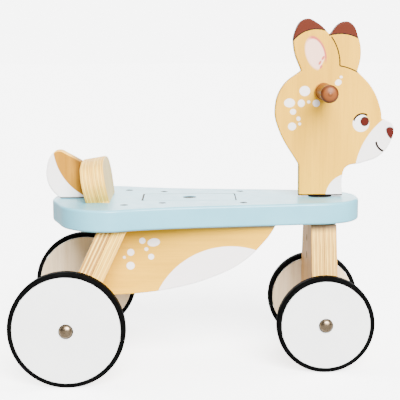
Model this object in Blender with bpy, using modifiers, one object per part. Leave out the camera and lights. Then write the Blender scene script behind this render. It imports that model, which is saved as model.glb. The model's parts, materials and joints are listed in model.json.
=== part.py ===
"""Toddler's wooden ride-on in the shape of a young deer.

A shaped seat board stands on a raked rear leg and a steered front leg, with four
rubber-tyred wooden wheels. The head board and the front leg turn together on one
upright shaft. A small compartment with a lift-out lid hangs under the seat between
two belly panels. X points forward, Y to the rider's left and Z up. Run it with
blender --background --python part.py, or from Blender's text editor.
"""

import math

import bmesh
import bpy
from mathutils import Matrix

MM = 0.001

# Clearances
FIT = 0.3 * MM          # between faces that touch or are glued
RUN = 0.5 * MM          # between faces that turn past each other
CUT_OVER = 5.0 * MM     # how far a cutter runs past the face that it opens

# Wheels, measured across the flats of the faceted circle
WHEELBASE = 357.0 * MM
REAR_WHEEL_RADIUS = 80.0 * MM
FRONT_WHEEL_RADIUS = 69.0 * MM
TYRE_THICKNESS = 7.7 * MM
TYRE_SHOULDER = 3.5 * MM
TYRE_INSET = 0.7 * MM
WHEEL_WIDTH = 18.0 * MM
WHEEL_CHAMFER = 1.0 * MM
WHEEL_SIDES = 38
AXLE_RADIUS = 4.0 * MM
WHEEL_BUSH_WALL = 2.2 * MM
WASHER_RADIUS = 9.0 * MM
WASHER_THICKNESS = 2.5 * MM
CAP_RADIUS = 10.0 * MM
CAP_HEIGHT = 5.5 * MM
CAP_RIM = 1.2 * MM
CAP_GRIP = 3.6 * MM

# Seat board
SEAT_TOP = 238.0 * MM
SEAT_THICKNESS = 30.5 * MM
SEAT_EDGE = 3.5 * MM
SEAT_REAR = 32.0 * MM
SEAT_NOSE = 412.0 * MM
SEAT_HALF_WIDTHS = (
    (-21.0 * MM, 47.0 * MM),
    (3.0 * MM, 97.0 * MM),
    (48.0 * MM, 119.0 * MM),
    (100.0 * MM, 105.0 * MM),
    (155.0 * MM, 92.0 * MM),
    (243.0 * MM, 80.0 * MM),
    (326.0 * MM, 69.0 * MM),
    (376.0 * MM, 60.0 * MM),
    (402.0 * MM, 38.0 * MM),
)

# Lift-out lid and its pocket
LID_REAR = 99.0 * MM
LID_LENGTH = 135.0 * MM
LID_WIDTH = 64.0 * MM
LID_THICKNESS = 9.0 * MM
LID_GAP = 1.2 * MM
LID_LEDGE = 8.0 * MM
LID_CORNER = 5.0 * MM
FINGER_HOLE_RADIUS = 10.0 * MM

# Boards of 18 mm plywood
BOARD = 18.0 * MM
BOARD_EDGE = 1.5 * MM

# Rear leg, two boards thick
REAR_LEAN = math.radians(25.5)
REAR_FOOT_HALF_WIDTH = 130.5 * MM
REAR_TOP_HALF_WIDTH = 105.0 * MM
REAR_FOOT_BELOW_AXLE = 20.0 * MM
FOOT_CORNER = 14.0 * MM

# Front leg, two boards thick, and the steering shaft in its seam
FRONT_FOOT_HALF_WIDTH = 71.2 * MM
FRONT_TOP_HALF_WIDTH = 52.0 * MM
FRONT_FLARE_HEIGHT = 135.0 * MM
FRONT_FOOT_BELOW_AXLE = 20.0 * MM
SHAFT_RADIUS = 5.0 * MM
SHAFT_IN_LEG = 68.0 * MM
SHAFT_IN_NECK = 50.0 * MM
BUSH_WALL = 4.0 * MM
FLANGE_RADIUS = 17.0 * MM
FLANGE_THICKNESS = 1.7 * MM
STEER_LIMIT = math.radians(30.0)
STOP_PIN_OFFSET = 36.0 * MM
STOP_PIN_RADIUS = 3.0 * MM
STOP_PIN_IN_LEG = 14.0 * MM
STOP_PIN_IN_SEAT = 6.0 * MM
LEG_SCREW_DEPTHS = (28.8 * MM, 54.0 * MM)
LEG_SCREW_RADIUS = 2.0 * MM
LEG_SCREW_HEAD_RADIUS = 4.0 * MM
LEG_SCREW_HEAD_HEIGHT = 2.5 * MM
LEG_SCREW_LENGTH = 31.0 * MM
NECK_PIN_HEIGHT = 25.0 * MM
NECK_PIN_RADIUS = 2.0 * MM
NECK_PIN_LENGTH = 15.0 * MM

# Head board: neck foot, then points from the steering axis and the neck foot
NECK_HALF_WIDTH = 31.8 * MM
HEAD_OUTLINE = (
    (-32.0, 45.0, "corner"),
    (-60.5, 95.0, "smooth"),
    (-66.6, 125.0, "smooth"),
    (-56.0, 158.0, "smooth"),
    (-29.6, 180.4, "corner"),
    (-40.0, 210.0, "smooth"),
    (-39.5, 234.0, "smooth"),
    (-24.5, 253.4, "smooth"),
    (-6.0, 247.0, "smooth"),
    (10.6, 231.1, "corner"),
    (27.0, 248.3, "smooth"),
    (39.5, 248.0, "smooth"),
    (51.5, 226.0, "smooth"),
    (55.0, 202.0, "smooth"),
    (50.5, 179.2, "corner"),
    (72.0, 155.5, "smooth"),
    (84.6, 126.0, "smooth"),
    (87.0, 110.8, "corner"),
    (101.6, 104.0, "smooth"),
    (104.6, 94.0, "smooth"),
    (101.6, 81.5, "smooth"),
    (86.0, 59.0, "smooth"),
    (58.0, 47.4, "smooth"),
    (36.5, 41.5, "smooth"),
    (31.0, 27.0, "smooth"),
)
HEAD_EDGE = 2.0 * MM
HANDLE_FORWARD = 2.0 * MM
HANDLE_HEIGHT = 151.0 * MM
HANDLE_ROD_RADIUS = 5.0 * MM
HANDLE_ROD_IN_GRIP = 45.0 * MM
GRIP_LENGTH = 77.0 * MM
GRIP_RADIUS = 12.5 * MM
GRIP_WAIST = 0.6 * MM
GRIP_WAIST_PLACE = 34.65 * MM
GRIP_DOME = 8.0 * MM
GRIP_FOOT_ROUND = 1.5 * MM

# Belly compartment
BELLY_HALF_SPAN = 54.0 * MM
BELLY_NOSE = 288.0 * MM
BELLY_UNDERSIDE = (
    (285.0, 6.5, "smooth"),
    (271.0, 25.5, "smooth"),
    (240.0, 54.5, "smooth"),
    (195.0, 76.5, "smooth"),
    (145.0, 90.5, "smooth"),
    (86.0, 98.5, "smooth"),
)
BELLY_DEPTH = 100.0 * MM
FLOOR_DEPTH = 71.5 * MM
FLOOR_THICKNESS = 9.0 * MM
FLOOR_FRONT_BEHIND_BOLT = 39.0 * MM
FRONT_BOARD_RUN = 32.0 * MM
GROOVE_DEPTH = 5.0 * MM

# Tail board and backrest on the seat
BACKREST_LEAN = math.radians(-9.5)
BACKREST_STATION = 37.2 * MM
BACKREST_BOARD = 16.5 * MM
BACKREST_OUTLINE = (
    (62.0, 14.0, "smooth"),
    (66.5, 30.0, "smooth"),
    (58.0, 46.0, "smooth"),
    (33.0, 55.0, "smooth"),
)
BACKREST_FOOT_HALF_WIDTH = 52.0 * MM
BACKREST_HEIGHT = 57.5 * MM
TAIL_FOOT = 20.0 * MM
TAIL_FRONT_HEIGHT = 54.0 * MM
TAIL_OUTLINE = (
    (-8.0, 64.5, "smooth"),
    (-21.5, 69.8, "smooth"),
    (-32.0, 63.5, "smooth"),
    (-39.0, 46.0, "smooth"),
    (-39.0, 26.0, "smooth"),
    (-30.8, 9.5, "smooth"),
)

# Fasteners: machine bolts down through the seat with cross nuts, and wood screws up
BOLT_RADIUS = 3.0 * MM
BOLT_HEAD_RADIUS = 5.0 * MM
BOLT_HEAD_HEIGHT = 4.0 * MM
BOLT_LENGTH = 60.0 * MM
BOLT_SUNK = 0.4 * MM
NUT_RADIUS = 5.0 * MM
NUT_DEPTH = 50.0 * MM
BELLY_NUT_LENGTH = 13.0 * MM
LEG_NUT_LENGTH = 26.0 * MM
BELLY_BOLT_STATIONS = (128.5 * MM, 243.0 * MM)
LEG_BOLT_OFFSET = 70.0 * MM
SCREW_RADIUS = 2.5 * MM
SCREW_HEAD_RADIUS = 4.5 * MM
SCREW_HEAD_HEIGHT = 3.0 * MM
SCREW_LENGTH = 58.0 * MM
BACKREST_SCREW_OFFSET = 30.0 * MM

# Levels and places worked out from the sizes above
SEAT_BOTTOM = SEAT_TOP - SEAT_THICKNESS
STEER_GAP = FLANGE_THICKNESS + 2.0 * FIT
LEG_TOP = SEAT_BOTTOM - STEER_GAP
NECK_FOOT = SEAT_TOP + STEER_GAP
LID_MIDDLE = LID_REAR + LID_LENGTH / 2.0
FLOOR_FRONT = BELLY_BOLT_STATIONS[1] - FLOOR_FRONT_BEHIND_BOLT
TYRE_CORNER_RADIUS = REAR_WHEEL_RADIUS / math.cos(math.pi / WHEEL_SIDES)
NOSE_REACH = WHEELBASE + max(point[0] for point in HEAD_OUTLINE) * MM
ROOT_X = -(NOSE_REACH - TYRE_CORNER_RADIUS) / 2.0

SIDES = (("_left", 1.0), ("_right", -1.0))
CORNER_DIP = 0.3            # a rounded corner's middle point, as a share of its size
TRIM_WIDER = 4.0            # a trimming block's sides against what it trims
ROUND_SMALL = 12
ROUND_MEDIUM = 18
HUB_SIDES = 16
CURVE_STEPS = 3
SEAT_CURVE_STEPS = 4
SEAT_RIM_SEGMENTS = 2


def clear_scene():
    """Remove every object and leave two empty collections, parts and cutters."""
    for item in list(bpy.data.objects):
        bpy.data.objects.remove(item, do_unlink=True)
    parts = bpy.data.collections.new("deer_ride_on")
    cutters = bpy.data.collections.new("cutters")
    for collection in (parts, cutters):
        bpy.context.scene.collection.children.link(collection)
    return parts, cutters


PARTS, CUTTERS = clear_scene()


def make_material(name, colour, roughness, metallic=0.0):
    """A plain Principled material of one colour."""
    material = bpy.data.materials.new(name)
    material.use_nodes = True
    shader = material.node_tree.nodes["Principled BSDF"]
    shader.inputs["Base Color"].default_value = (*colour, 1.0)
    shader.inputs["Roughness"].default_value = roughness
    shader.inputs["Metallic"].default_value = metallic
    material.diffuse_color = (*colour, 1.0)
    return material


BLUE_PAINT = make_material("pale_blue_paint", (0.60, 0.76, 0.82), 0.45)
WHITE_PAINT = make_material("white_paint", (0.86, 0.86, 0.85), 0.45)
FAWN_FACE = make_material("fawn_tinted_plywood", (0.84, 0.64, 0.35), 0.5)
TAIL_FACE = make_material("tan_tinted_plywood", (0.72, 0.44, 0.18), 0.5)
BIRCH = make_material("birch_plywood", (0.82, 0.66, 0.46), 0.55)
BEECH = make_material("beech", (0.55, 0.27, 0.13), 0.45)
RUBBER = make_material("black_rubber", (0.012, 0.014, 0.014), 0.7)
STEEL = make_material("zinc_plated_steel", (0.62, 0.60, 0.57), 0.35, 1.0)
NYLON = make_material("white_nylon", (0.80, 0.80, 0.78), 0.5)


def make_empty(name, parent, location):
    """An empty that carries the pieces of one moving body."""
    empty = bpy.data.objects.new(name, None)
    empty.empty_display_size = 0.03
    empty.location = location
    empty.parent = parent
    PARTS.objects.link(empty)
    return empty


ROOT = make_empty("seat_frame", None, (ROOT_X, 0.0, 0.0))
STEERING = make_empty("steering_axis", ROOT, (WHEELBASE, 0.0, 0.0))


def axis_rotation(axis):
    """Rotation that lays a piece's own Z along an axis, such as +Y or -Y."""
    turns = {
        "+X": (0.0, math.pi / 2.0, 0.0),
        "-X": (0.0, -math.pi / 2.0, 0.0),
        "+Y": (-math.pi / 2.0, 0.0, 0.0),
        "-Y": (math.pi / 2.0, 0.0, 0.0),
        "+Z": (0.0, 0.0, 0.0),
        "-Z": (math.pi, 0.0, 0.0),
    }
    return turns[axis]


UPRIGHT = (math.pi / 2.0, 0.0, 0.0)     # a board's own Y stands up, in the XZ plane


def leaning_rotation(lean):
    """Board across the ride-on: own X to the left, own Y up the lean, own Z forward."""
    side = (0.0, 1.0, 0.0)
    up = (math.sin(lean), 0.0, math.cos(lean))
    front = (math.cos(lean), 0.0, -math.sin(lean))
    return Matrix((side, up, front)).transposed().to_euler()


def finish_piece(name, mesh, material, parent, location=(0.0, 0.0, 0.0), rotation=(0.0, 0.0, 0.0)):
    """Put a mesh in the parts collection, or among the cutters when it has no material."""
    piece = bpy.data.objects.new(name, mesh)
    piece.parent = parent
    piece.location = location
    piece.rotation_euler = rotation
    if material is None:
        CUTTERS.objects.link(piece)
        piece.hide_render = True
        piece.display_type = "WIRE"
    else:
        PARTS.objects.link(piece)
        if not mesh.materials:
            mesh.materials.append(material)
    return piece


def soften_shading(mesh):
    """Smooth shading with the true corners kept sharp."""
    mesh.shade_smooth()
    mesh.set_sharp_from_angle(angle=math.radians(35.0))


def mesh_from_curve(curve):
    """The mesh of a curve, with its caps welded and their flat triangles merged."""
    holder = bpy.data.objects.new("outline", curve)
    PARTS.objects.link(holder)
    graph = bpy.context.evaluated_depsgraph_get()
    mesh = bpy.data.meshes.new_from_object(holder.evaluated_get(graph))
    bpy.data.objects.remove(holder, do_unlink=True)
    bpy.data.curves.remove(curve)
    shape = bmesh.new()
    shape.from_mesh(mesh)
    bmesh.ops.remove_doubles(shape, verts=shape.verts, dist=0.000005)
    bmesh.ops.dissolve_limit(shape, angle_limit=0.002, verts=shape.verts, edges=shape.edges)
    shape.to_mesh(mesh)
    shape.free()
    return mesh


def round_rims(mesh, radius, level, segments):
    """Round the rim edges that lie at one level of the board's own Z."""
    shape = bmesh.new()
    shape.from_mesh(mesh)
    shape.normal_update()
    rims = []
    for edge in shape.edges:
        at_level = all(abs(vertex.co.z - level) < 0.00001 for vertex in edge.verts)
        if at_level and edge.calc_face_angle(0.0) > math.radians(50.0):
            rims.append(edge)
    bmesh.ops.bevel(shape, geom=rims, offset=radius, segments=segments, profile=0.5, affect="EDGES")
    shape.to_mesh(mesh)
    shape.free()


def board_mesh(name, outline, thickness, edge=0.0, rims=(1, -1), steps=CURVE_STEPS, segments=1):
    """A flat board about its own XY plane, from points of (x, y, smooth or corner)."""
    curve = bpy.data.curves.new(name, "CURVE")
    curve.dimensions = "2D"
    curve.fill_mode = "BOTH"
    curve.extrude = thickness / 2.0
    curve.resolution_u = steps
    spline = curve.splines.new("BEZIER")
    spline.bezier_points.add(len(outline) - 1)
    spline.use_cyclic_u = True
    for point, (x, y, _) in zip(spline.bezier_points, outline):
        point.co = (x, y, 0.0)
    for point, (_, _, kind) in zip(spline.bezier_points, outline):
        handle = "AUTO" if kind == "smooth" else "VECTOR"
        point.handle_left_type = handle
        point.handle_right_type = handle
    mesh = mesh_from_curve(curve)
    mesh.name = name
    if edge > 0.0:
        for rim in rims:
            round_rims(mesh, edge, rim * thickness / 2.0, segments)
    soften_shading(mesh)
    return mesh


def in_metres(outline):
    """Outline points given in millimetres, as metres."""
    return [(x * MM, y * MM, kind) for x, y, kind in outline]


def both_sides(outline):
    """A closed outline from its half at +X, which runs from the foot to the top."""
    mirrored = [(-x, y, kind) for x, y, kind in reversed(outline) if x > FIT]
    return list(outline) + mirrored


def turned_piece(name, profile, material, parent, location, rotation, sides=ROUND_MEDIUM, closed=False):
    """A turned piece: (radius, height) points down its outer side, swept about Z."""
    mesh = bpy.data.meshes.new(name)
    points = [(radius, 0.0, height) for radius, height in profile]
    edges = [(index, index + 1) for index in range(len(points) - 1)]
    if closed:
        edges.append((len(points) - 1, 0))
    mesh.from_pydata(points, edges, [])
    piece = finish_piece(name, mesh, material, parent, location, rotation)
    screw = piece.modifiers.new("turn", "SCREW")
    screw.angle = math.tau
    screw.steps = sides
    screw.render_steps = sides
    screw.use_merge_vertices = True
    screw.merge_threshold = 0.00001
    screw.use_smooth_shade = True
    return piece


def cylinder_piece(name, radius, length, material, parent, centre, axis="+Z", sides=ROUND_MEDIUM):
    """A plain rod about its own centre, or a cutter of that shape."""
    shape = bmesh.new()
    bmesh.ops.create_cone(
        shape, cap_ends=True, segments=sides, radius1=radius, radius2=radius, depth=length
    )
    mesh = bpy.data.meshes.new(name)
    shape.to_mesh(mesh)
    shape.free()
    soften_shading(mesh)
    return finish_piece(name, mesh, material, parent, centre, axis_rotation(axis))


def box_cutter(name, size, parent, centre, rotation=(0.0, 0.0, 0.0), corner=0.0):
    """A box cutter, with its upright corners rounded when a corner is given."""
    shape = bmesh.new()
    bmesh.ops.create_cube(shape, size=1.0, matrix=Matrix.Diagonal((*size, 1.0)))
    if corner > 0.0:
        upright = []
        for edge in shape.edges:
            if abs(edge.verts[0].co.z - edge.verts[1].co.z) > size[2] / 2.0:
                upright.append(edge)
        bmesh.ops.bevel(shape, geom=upright, offset=corner, segments=4, profile=0.5, affect="EDGES")
    mesh = bpy.data.meshes.new(name)
    shape.to_mesh(mesh)
    shape.free()
    return finish_piece(name, mesh, None, parent, centre, rotation)


def cut(piece, *cutters):
    """Cut a piece with each cutter in turn."""
    for cutter in cutters:
        boolean = piece.modifiers.new("cut " + cutter.name, "BOOLEAN")
        boolean.operation = "DIFFERENCE"
        boolean.solver = "EXACT"
        boolean.object = cutter


def mirror_cutter(cutter):
    """Repeat a cutter on the other side of the ride-on."""
    mirror = cutter.modifiers.new("other side", "MIRROR")
    mirror.use_axis = (False, True, False)
    mirror.mirror_object = ROOT
    mirror.use_mirror_merge = False
    return cutter


def bolt_profile(clearance=0.0, head_over=0.0):
    """Machine bolt, its head's top at height 0: the outer side from the head down."""
    head = BOLT_HEAD_RADIUS + clearance
    shank = BOLT_RADIUS + clearance
    return [
        (0.0, head_over),
        (head, head_over),
        (head, -BOLT_HEAD_HEIGHT - clearance),
        (shank, -BOLT_HEAD_HEIGHT - clearance),
        (shank, -BOLT_LENGTH - clearance),
        (0.0, -BOLT_LENGTH - clearance),
    ]


def screw_profile(radius, head_radius, head_height, length, clearance=0.0, head_over=0.0):
    """Countersunk wood screw with a pointed end, its head's top at height 0."""
    tip = 2.0 * radius
    return [
        (0.0, head_over),
        (head_radius + clearance, head_over),
        (head_radius + clearance, 0.0),
        (radius + clearance, -head_height),
        (radius + clearance, tip - length),
        (0.0, -length - clearance),
    ] if head_over > 0.0 else [
        (0.0, 0.0),
        (head_radius, 0.0),
        (radius, -head_height),
        (radius, tip - length),
        (0.0, -length),
    ]


def seat_outline():
    """The seat's plan: a broad rounded rear that narrows to a round nose."""
    left = [(station, half, "smooth") for station, half in SEAT_HALF_WIDTHS]
    right = [(station, -half, "smooth") for station, half in reversed(SEAT_HALF_WIDTHS)]
    return [(-SEAT_REAR, 0.0, "smooth")] + left + [(SEAT_NOSE, 0.0, "smooth")] + right


def lean_point(station, level, lean, height):
    """Where a leaning line from (station, level) has climbed to the given height."""
    return station + (height - level) * math.tan(lean)


def make_bolt_pair(name, station, offset, lean, depth):
    """A seat bolt on each side, on a line that may lean, and the cutter for both."""
    level = SEAT_TOP - depth
    top = lean_point(station, SEAT_TOP, lean, level)
    rotation = (0.0, lean, 0.0)
    for side_name, side in SIDES:
        place = (top, side * offset, level)
        turned_piece(name + side_name, bolt_profile(), STEEL, ROOT, place, rotation, ROUND_SMALL)
    profile = bolt_profile(FIT, 2.0 * BOLT_HEAD_RADIUS)
    place = (top, offset, level)
    cutter = turned_piece(name + "_cutter", profile, None, ROOT, place, rotation, ROUND_SMALL)
    return mirror_cutter(cutter)


def make_cross_nuts(name, length, centre, rotation, bolt_cutter):
    """A round cross nut on each side, bored for its bolt, and the cutter for both seats."""
    for side_name, side in SIDES:
        place = (centre[0], side * centre[1], centre[2])
        nut = cylinder_piece(name + side_name, NUT_RADIUS, length, STEEL, ROOT, place, sides=ROUND_SMALL)
        nut.rotation_euler = rotation
        cut(nut, bolt_cutter)
    seat = (NUT_RADIUS + FIT, length + 2.0 * FIT)
    cutter = cylinder_piece(name + "_cutter", *seat, None, ROOT, centre, sides=ROUND_SMALL)
    cutter.rotation_euler = rotation
    return mirror_cutter(cutter)


def make_seat_fasteners():
    """Every bolt and screw that enters the seat, with the cutters that clear them."""
    tilt_sink = BOLT_HEAD_RADIUS * math.sin(REAR_LEAN) + BOLT_SUNK
    leg_station = lean_point(0.0, REAR_WHEEL_RADIUS, REAR_LEAN, SEAT_TOP)
    leg_cut = make_bolt_pair("leg_bolt", leg_station, LEG_BOLT_OFFSET, REAR_LEAN, tilt_sink)
    cutters = {"leg_bolt": leg_cut}
    for label, station in zip(("rear", "front"), BELLY_BOLT_STATIONS):
        name = "belly_bolt_" + label
        bolt_cut = make_bolt_pair(name, station, BELLY_HALF_SPAN, 0.0, BOLT_SUNK)
        cutters[name] = bolt_cut
        inner = BELLY_HALF_SPAN - BOARD / 2.0
        centre = (station, inner + BELLY_NUT_LENGTH / 2.0 + FIT, SEAT_TOP - NUT_DEPTH)
        name = "belly_nut_" + label
        cutters[name] = make_cross_nuts(name, BELLY_NUT_LENGTH, centre, UPRIGHT, bolt_cut)
    height = SEAT_TOP - NUT_DEPTH
    inset = BOARD + FIT / 2.0 - LEG_NUT_LENGTH / 2.0
    centre = (
        lean_point(0.0, REAR_WHEEL_RADIUS, REAR_LEAN, height) - inset * math.cos(REAR_LEAN),
        LEG_BOLT_OFFSET,
        height + inset * math.sin(REAR_LEAN),
    )
    along = (0.0, math.pi / 2.0 + REAR_LEAN, 0.0)
    cutters["leg_nut"] = make_cross_nuts("leg_nut", LEG_NUT_LENGTH, centre, along, leg_cut)
    cutters["backrest_screw"] = make_backrest_screws()
    return cutters


def make_backrest_screws():
    """Wood screws from under the seat into the backrest's front board."""
    sizes = (SCREW_RADIUS, SCREW_HEAD_RADIUS, SCREW_HEAD_HEIGHT, SCREW_LENGTH)
    level = SEAT_BOTTOM + SCREW_HEAD_RADIUS * math.sin(abs(BACKREST_LEAN)) + BOLT_SUNK
    front_board = BACKREST_STATION + (BACKREST_BOARD + FIT) / 2.0 / math.cos(BACKREST_LEAN)
    station = lean_point(front_board, SEAT_TOP, BACKREST_LEAN, level)
    rotation = (0.0, math.pi + BACKREST_LEAN, 0.0)
    for side_name, side in SIDES:
        name = "backrest_screw" + side_name
        place = (station, side * BACKREST_SCREW_OFFSET, level)
        turned_piece(name, screw_profile(*sizes), STEEL, ROOT, place, rotation, ROUND_SMALL)
    profile = screw_profile(*sizes, clearance=FIT, head_over=2.0 * SCREW_HEAD_RADIUS)
    place = (station, BACKREST_SCREW_OFFSET, level)
    name = "backrest_screw_cutter"
    cutter = turned_piece(name, profile, None, ROOT, place, rotation, ROUND_SMALL)
    return mirror_cutter(cutter)


def stop_slot_cutter():
    """The arc slot that the stop pin rides in: its round ends set the steering limits."""
    half = STOP_PIN_RADIUS + RUN
    arc_steps = 12
    cap_steps = 4
    outline = []
    for radius, direction in ((STOP_PIN_OFFSET + half, 1.0), (STOP_PIN_OFFSET - half, -1.0)):
        for step in range(arc_steps + 1):
            swing = direction * STEER_LIMIT * (2.0 * step / arc_steps - 1.0)
            angle = math.pi / 2.0 + swing
            outline.append((radius * math.cos(angle), radius * math.sin(angle), "corner"))
        end = math.pi / 2.0 + direction * STEER_LIMIT
        middle = (STOP_PIN_OFFSET * math.cos(end), STOP_PIN_OFFSET * math.sin(end))
        start = end if direction > 0.0 else end + math.pi
        for step in range(1, cap_steps):
            angle = start + math.pi * step / cap_steps
            x = middle[0] + half * math.cos(angle)
            y = middle[1] + half * math.sin(angle)
            outline.append((x, y, "corner"))
    depth = STOP_PIN_IN_SEAT + RUN + CUT_OVER
    mesh = board_mesh("stop_slot_cutter", outline, depth)
    level = SEAT_BOTTOM - CUT_OVER + depth / 2.0
    return finish_piece("stop_slot_cutter", mesh, None, ROOT, (WHEELBASE, 0.0, level))


def make_seat(fastener_cuts):
    """The seat board with the lid's pocket, the bush bore, the stop slot and bolt holes."""
    rounding = {"steps": SEAT_CURVE_STEPS, "segments": SEAT_RIM_SEGMENTS}
    mesh = board_mesh("seat_board", seat_outline(), SEAT_THICKNESS, SEAT_EDGE, **rounding)
    middle = SEAT_TOP - SEAT_THICKNESS / 2.0
    seat = finish_piece("seat_board", mesh, BLUE_PAINT, ROOT, (0.0, 0.0, middle))
    pocket_depth = LID_THICKNESS + FIT
    pocket_size = (LID_LENGTH, LID_WIDTH, pocket_depth + CUT_OVER)
    pocket_level = SEAT_TOP - pocket_depth + pocket_size[2] / 2.0
    pocket = box_cutter(
        "lid_pocket_cutter", pocket_size, ROOT, (LID_MIDDLE, 0.0, pocket_level), corner=LID_CORNER
    )
    throat_size = (LID_LENGTH - 2.0 * LID_LEDGE, LID_WIDTH - 2.0 * LID_LEDGE, 2.0 * SEAT_THICKNESS)
    throat = box_cutter(
        "throat_cutter", throat_size, ROOT, (LID_MIDDLE, 0.0, middle), corner=LID_CORNER
    )
    bore_radius = SHAFT_RADIUS + FIT + BUSH_WALL + FIT
    bore = cylinder_piece(
        "bush_bore_cutter", bore_radius, 2.0 * SEAT_THICKNESS, None, ROOT, (WHEELBASE, 0.0, middle)
    )
    names = ("leg_bolt", "belly_bolt_rear", "belly_bolt_front", "backrest_screw")
    cut(seat, pocket, throat, bore, stop_slot_cutter(), *(fastener_cuts[name] for name in names))
    return seat


def make_lid():
    """The lift-out lid, which lies on the pocket's ledge, with its finger hole."""
    half_length = LID_LENGTH / 2.0 - LID_GAP
    half_width = LID_WIDTH / 2.0 - LID_GAP
    corner = LID_CORNER - LID_GAP
    quarter = [
        (half_length, half_width - corner, "corner"),
        (half_length - CORNER_DIP * corner, half_width - CORNER_DIP * corner, "corner"),
        (half_length - corner, half_width, "corner"),
    ]
    left = quarter + [(-x, y, kind) for x, y, kind in reversed(quarter)]
    outline = left + [(x, -y, kind) for x, y, kind in reversed(left)]
    mesh = board_mesh("compartment_lid", outline, LID_THICKNESS)
    level = SEAT_TOP - LID_THICKNESS / 2.0
    lid = finish_piece("compartment_lid", mesh, BLUE_PAINT, ROOT, (LID_MIDDLE, 0.0, level))
    hole = cylinder_piece(
        "finger_hole_cutter", FINGER_HOLE_RADIUS, 3.0 * LID_THICKNESS, None, ROOT, (LID_MIDDLE, 0.0, level)
    )
    cut(lid, hole)
    return lid


def leg_half_outline(half_widths, foot, top, corner):
    """Half of a leg's outline: a rounded foot below the axle, then its side to the top."""
    foot_half = half_widths[0][0]
    points = [
        (0.0, -foot, "corner"),
        (foot_half - corner, -foot, "corner"),
        (foot_half - CORNER_DIP * corner, -foot + CORNER_DIP * corner, "corner"),
        (foot_half, -foot + corner, "corner"),
    ]
    points += [(half, height, "corner") for half, height in half_widths if height > 0.0]
    points.append((0.0, top, "corner"))
    return points


def laminated_pair(names, outline, thickness, parent, place, lean, cutters):
    """Two boards glued face to face: the first in front of the seam, the second behind."""
    rotation = leaning_rotation(lean)
    boards = []
    for name, direction in zip(names, (1, -1)):
        mesh = board_mesh(name, outline, thickness, BOARD_EDGE, rims=(direction,))
        shift = direction * (thickness + FIT) / 2.0
        spot = (
            place[0] + shift * math.cos(lean),
            place[1],
            place[2] - shift * math.sin(lean),
        )
        board = finish_piece(name, mesh, BIRCH, parent, spot, rotation)
        cut(board, *cutters)
        boards.append(board)
    return boards


def make_rear_leg(fastener_cuts, axle_cut):
    """The raked rear leg, trimmed level under the seat and grooved for axle and bolts."""
    rise = (SEAT_BOTTOM - REAR_WHEEL_RADIUS) / math.cos(REAR_LEAN)
    over = BOARD * math.tan(REAR_LEAN) + CUT_OVER
    narrowing = (REAR_FOOT_HALF_WIDTH - REAR_TOP_HALF_WIDTH) / rise
    top = rise + over
    sides = ((REAR_FOOT_HALF_WIDTH, 0.0), (REAR_TOP_HALF_WIDTH - narrowing * over, top))
    half = leg_half_outline(sides, REAR_FOOT_BELOW_AXLE, top, FOOT_CORNER)
    size = (over + BOARD * TRIM_WIDER, REAR_FOOT_HALF_WIDTH * TRIM_WIDER, over * TRIM_WIDER)
    level = SEAT_BOTTOM - FIT + size[2] / 2.0
    station = lean_point(0.0, REAR_WHEEL_RADIUS, REAR_LEAN, SEAT_BOTTOM)
    trim = box_cutter("rear_leg_trim_cutter", size, ROOT, (station, 0.0, level))
    cutters = (trim, axle_cut, fastener_cuts["leg_bolt"], fastener_cuts["leg_nut"])
    names = ("rear_leg_front_board", "rear_leg_rear_board")
    place = (0.0, 0.0, REAR_WHEEL_RADIUS)
    return laminated_pair(names, both_sides(half), BOARD, ROOT, place, REAR_LEAN, cutters)


def make_front_leg(axle_cut):
    """The upright front leg: grooved for axle, shaft and stop pin, bored for its screws."""
    top = LEG_TOP - FRONT_WHEEL_RADIUS
    flare = FRONT_FLARE_HEIGHT - FRONT_WHEEL_RADIUS
    sides = ((FRONT_FOOT_HALF_WIDTH, 0.0), (FRONT_FOOT_HALF_WIDTH, flare), (FRONT_TOP_HALF_WIDTH, top))
    half = leg_half_outline(sides, FRONT_FOOT_BELOW_AXLE, top, FOOT_CORNER)
    shaft_length = SHAFT_IN_LEG + FIT + CUT_OVER
    shaft_cut = cylinder_piece(
        "leg_shaft_cutter", SHAFT_RADIUS + FIT, shaft_length, None, STEERING,
        (0.0, 0.0, LEG_TOP + CUT_OVER - shaft_length / 2.0),
    )
    pin_length = STOP_PIN_IN_LEG + FIT + CUT_OVER
    pin_cut = cylinder_piece(
        "stop_pin_cutter", STOP_PIN_RADIUS + FIT, pin_length, None, STEERING,
        (0.0, STOP_PIN_OFFSET, LEG_TOP + CUT_OVER - pin_length / 2.0), sides=ROUND_SMALL,
    )
    screw_cuts = make_leg_screws()
    names = ("front_leg_front_board", "front_leg_rear_board")
    place = (0.0, 0.0, FRONT_WHEEL_RADIUS)
    cutters = (axle_cut, shaft_cut, pin_cut, *screw_cuts)
    boards = laminated_pair(names, both_sides(half), BOARD, STEERING, place, 0.0, cutters)
    return boards, screw_cuts


def make_leg_screws():
    """Screws from the leg's rear face, through the shaft and into the front board."""
    sizes = (LEG_SCREW_RADIUS, LEG_SCREW_HEAD_RADIUS, LEG_SCREW_HEAD_HEIGHT, LEG_SCREW_LENGTH)
    face = -BOARD - FIT / 2.0 + BOLT_SUNK
    cutters = []
    for number, depth in enumerate(LEG_SCREW_DEPTHS, start=1):
        place = (face, 0.0, LEG_TOP - depth)
        rotation = axis_rotation("-X")
        name = "shaft_screw_%d" % number
        turned_piece(name, screw_profile(*sizes), STEEL, STEERING, place, rotation, ROUND_SMALL)
        profile = screw_profile(*sizes, clearance=FIT, head_over=CUT_OVER)
        cutter = turned_piece(name + "_cutter", profile, None, STEERING, place, rotation, ROUND_SMALL)
        cutters.append(cutter)
    return cutters


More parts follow.
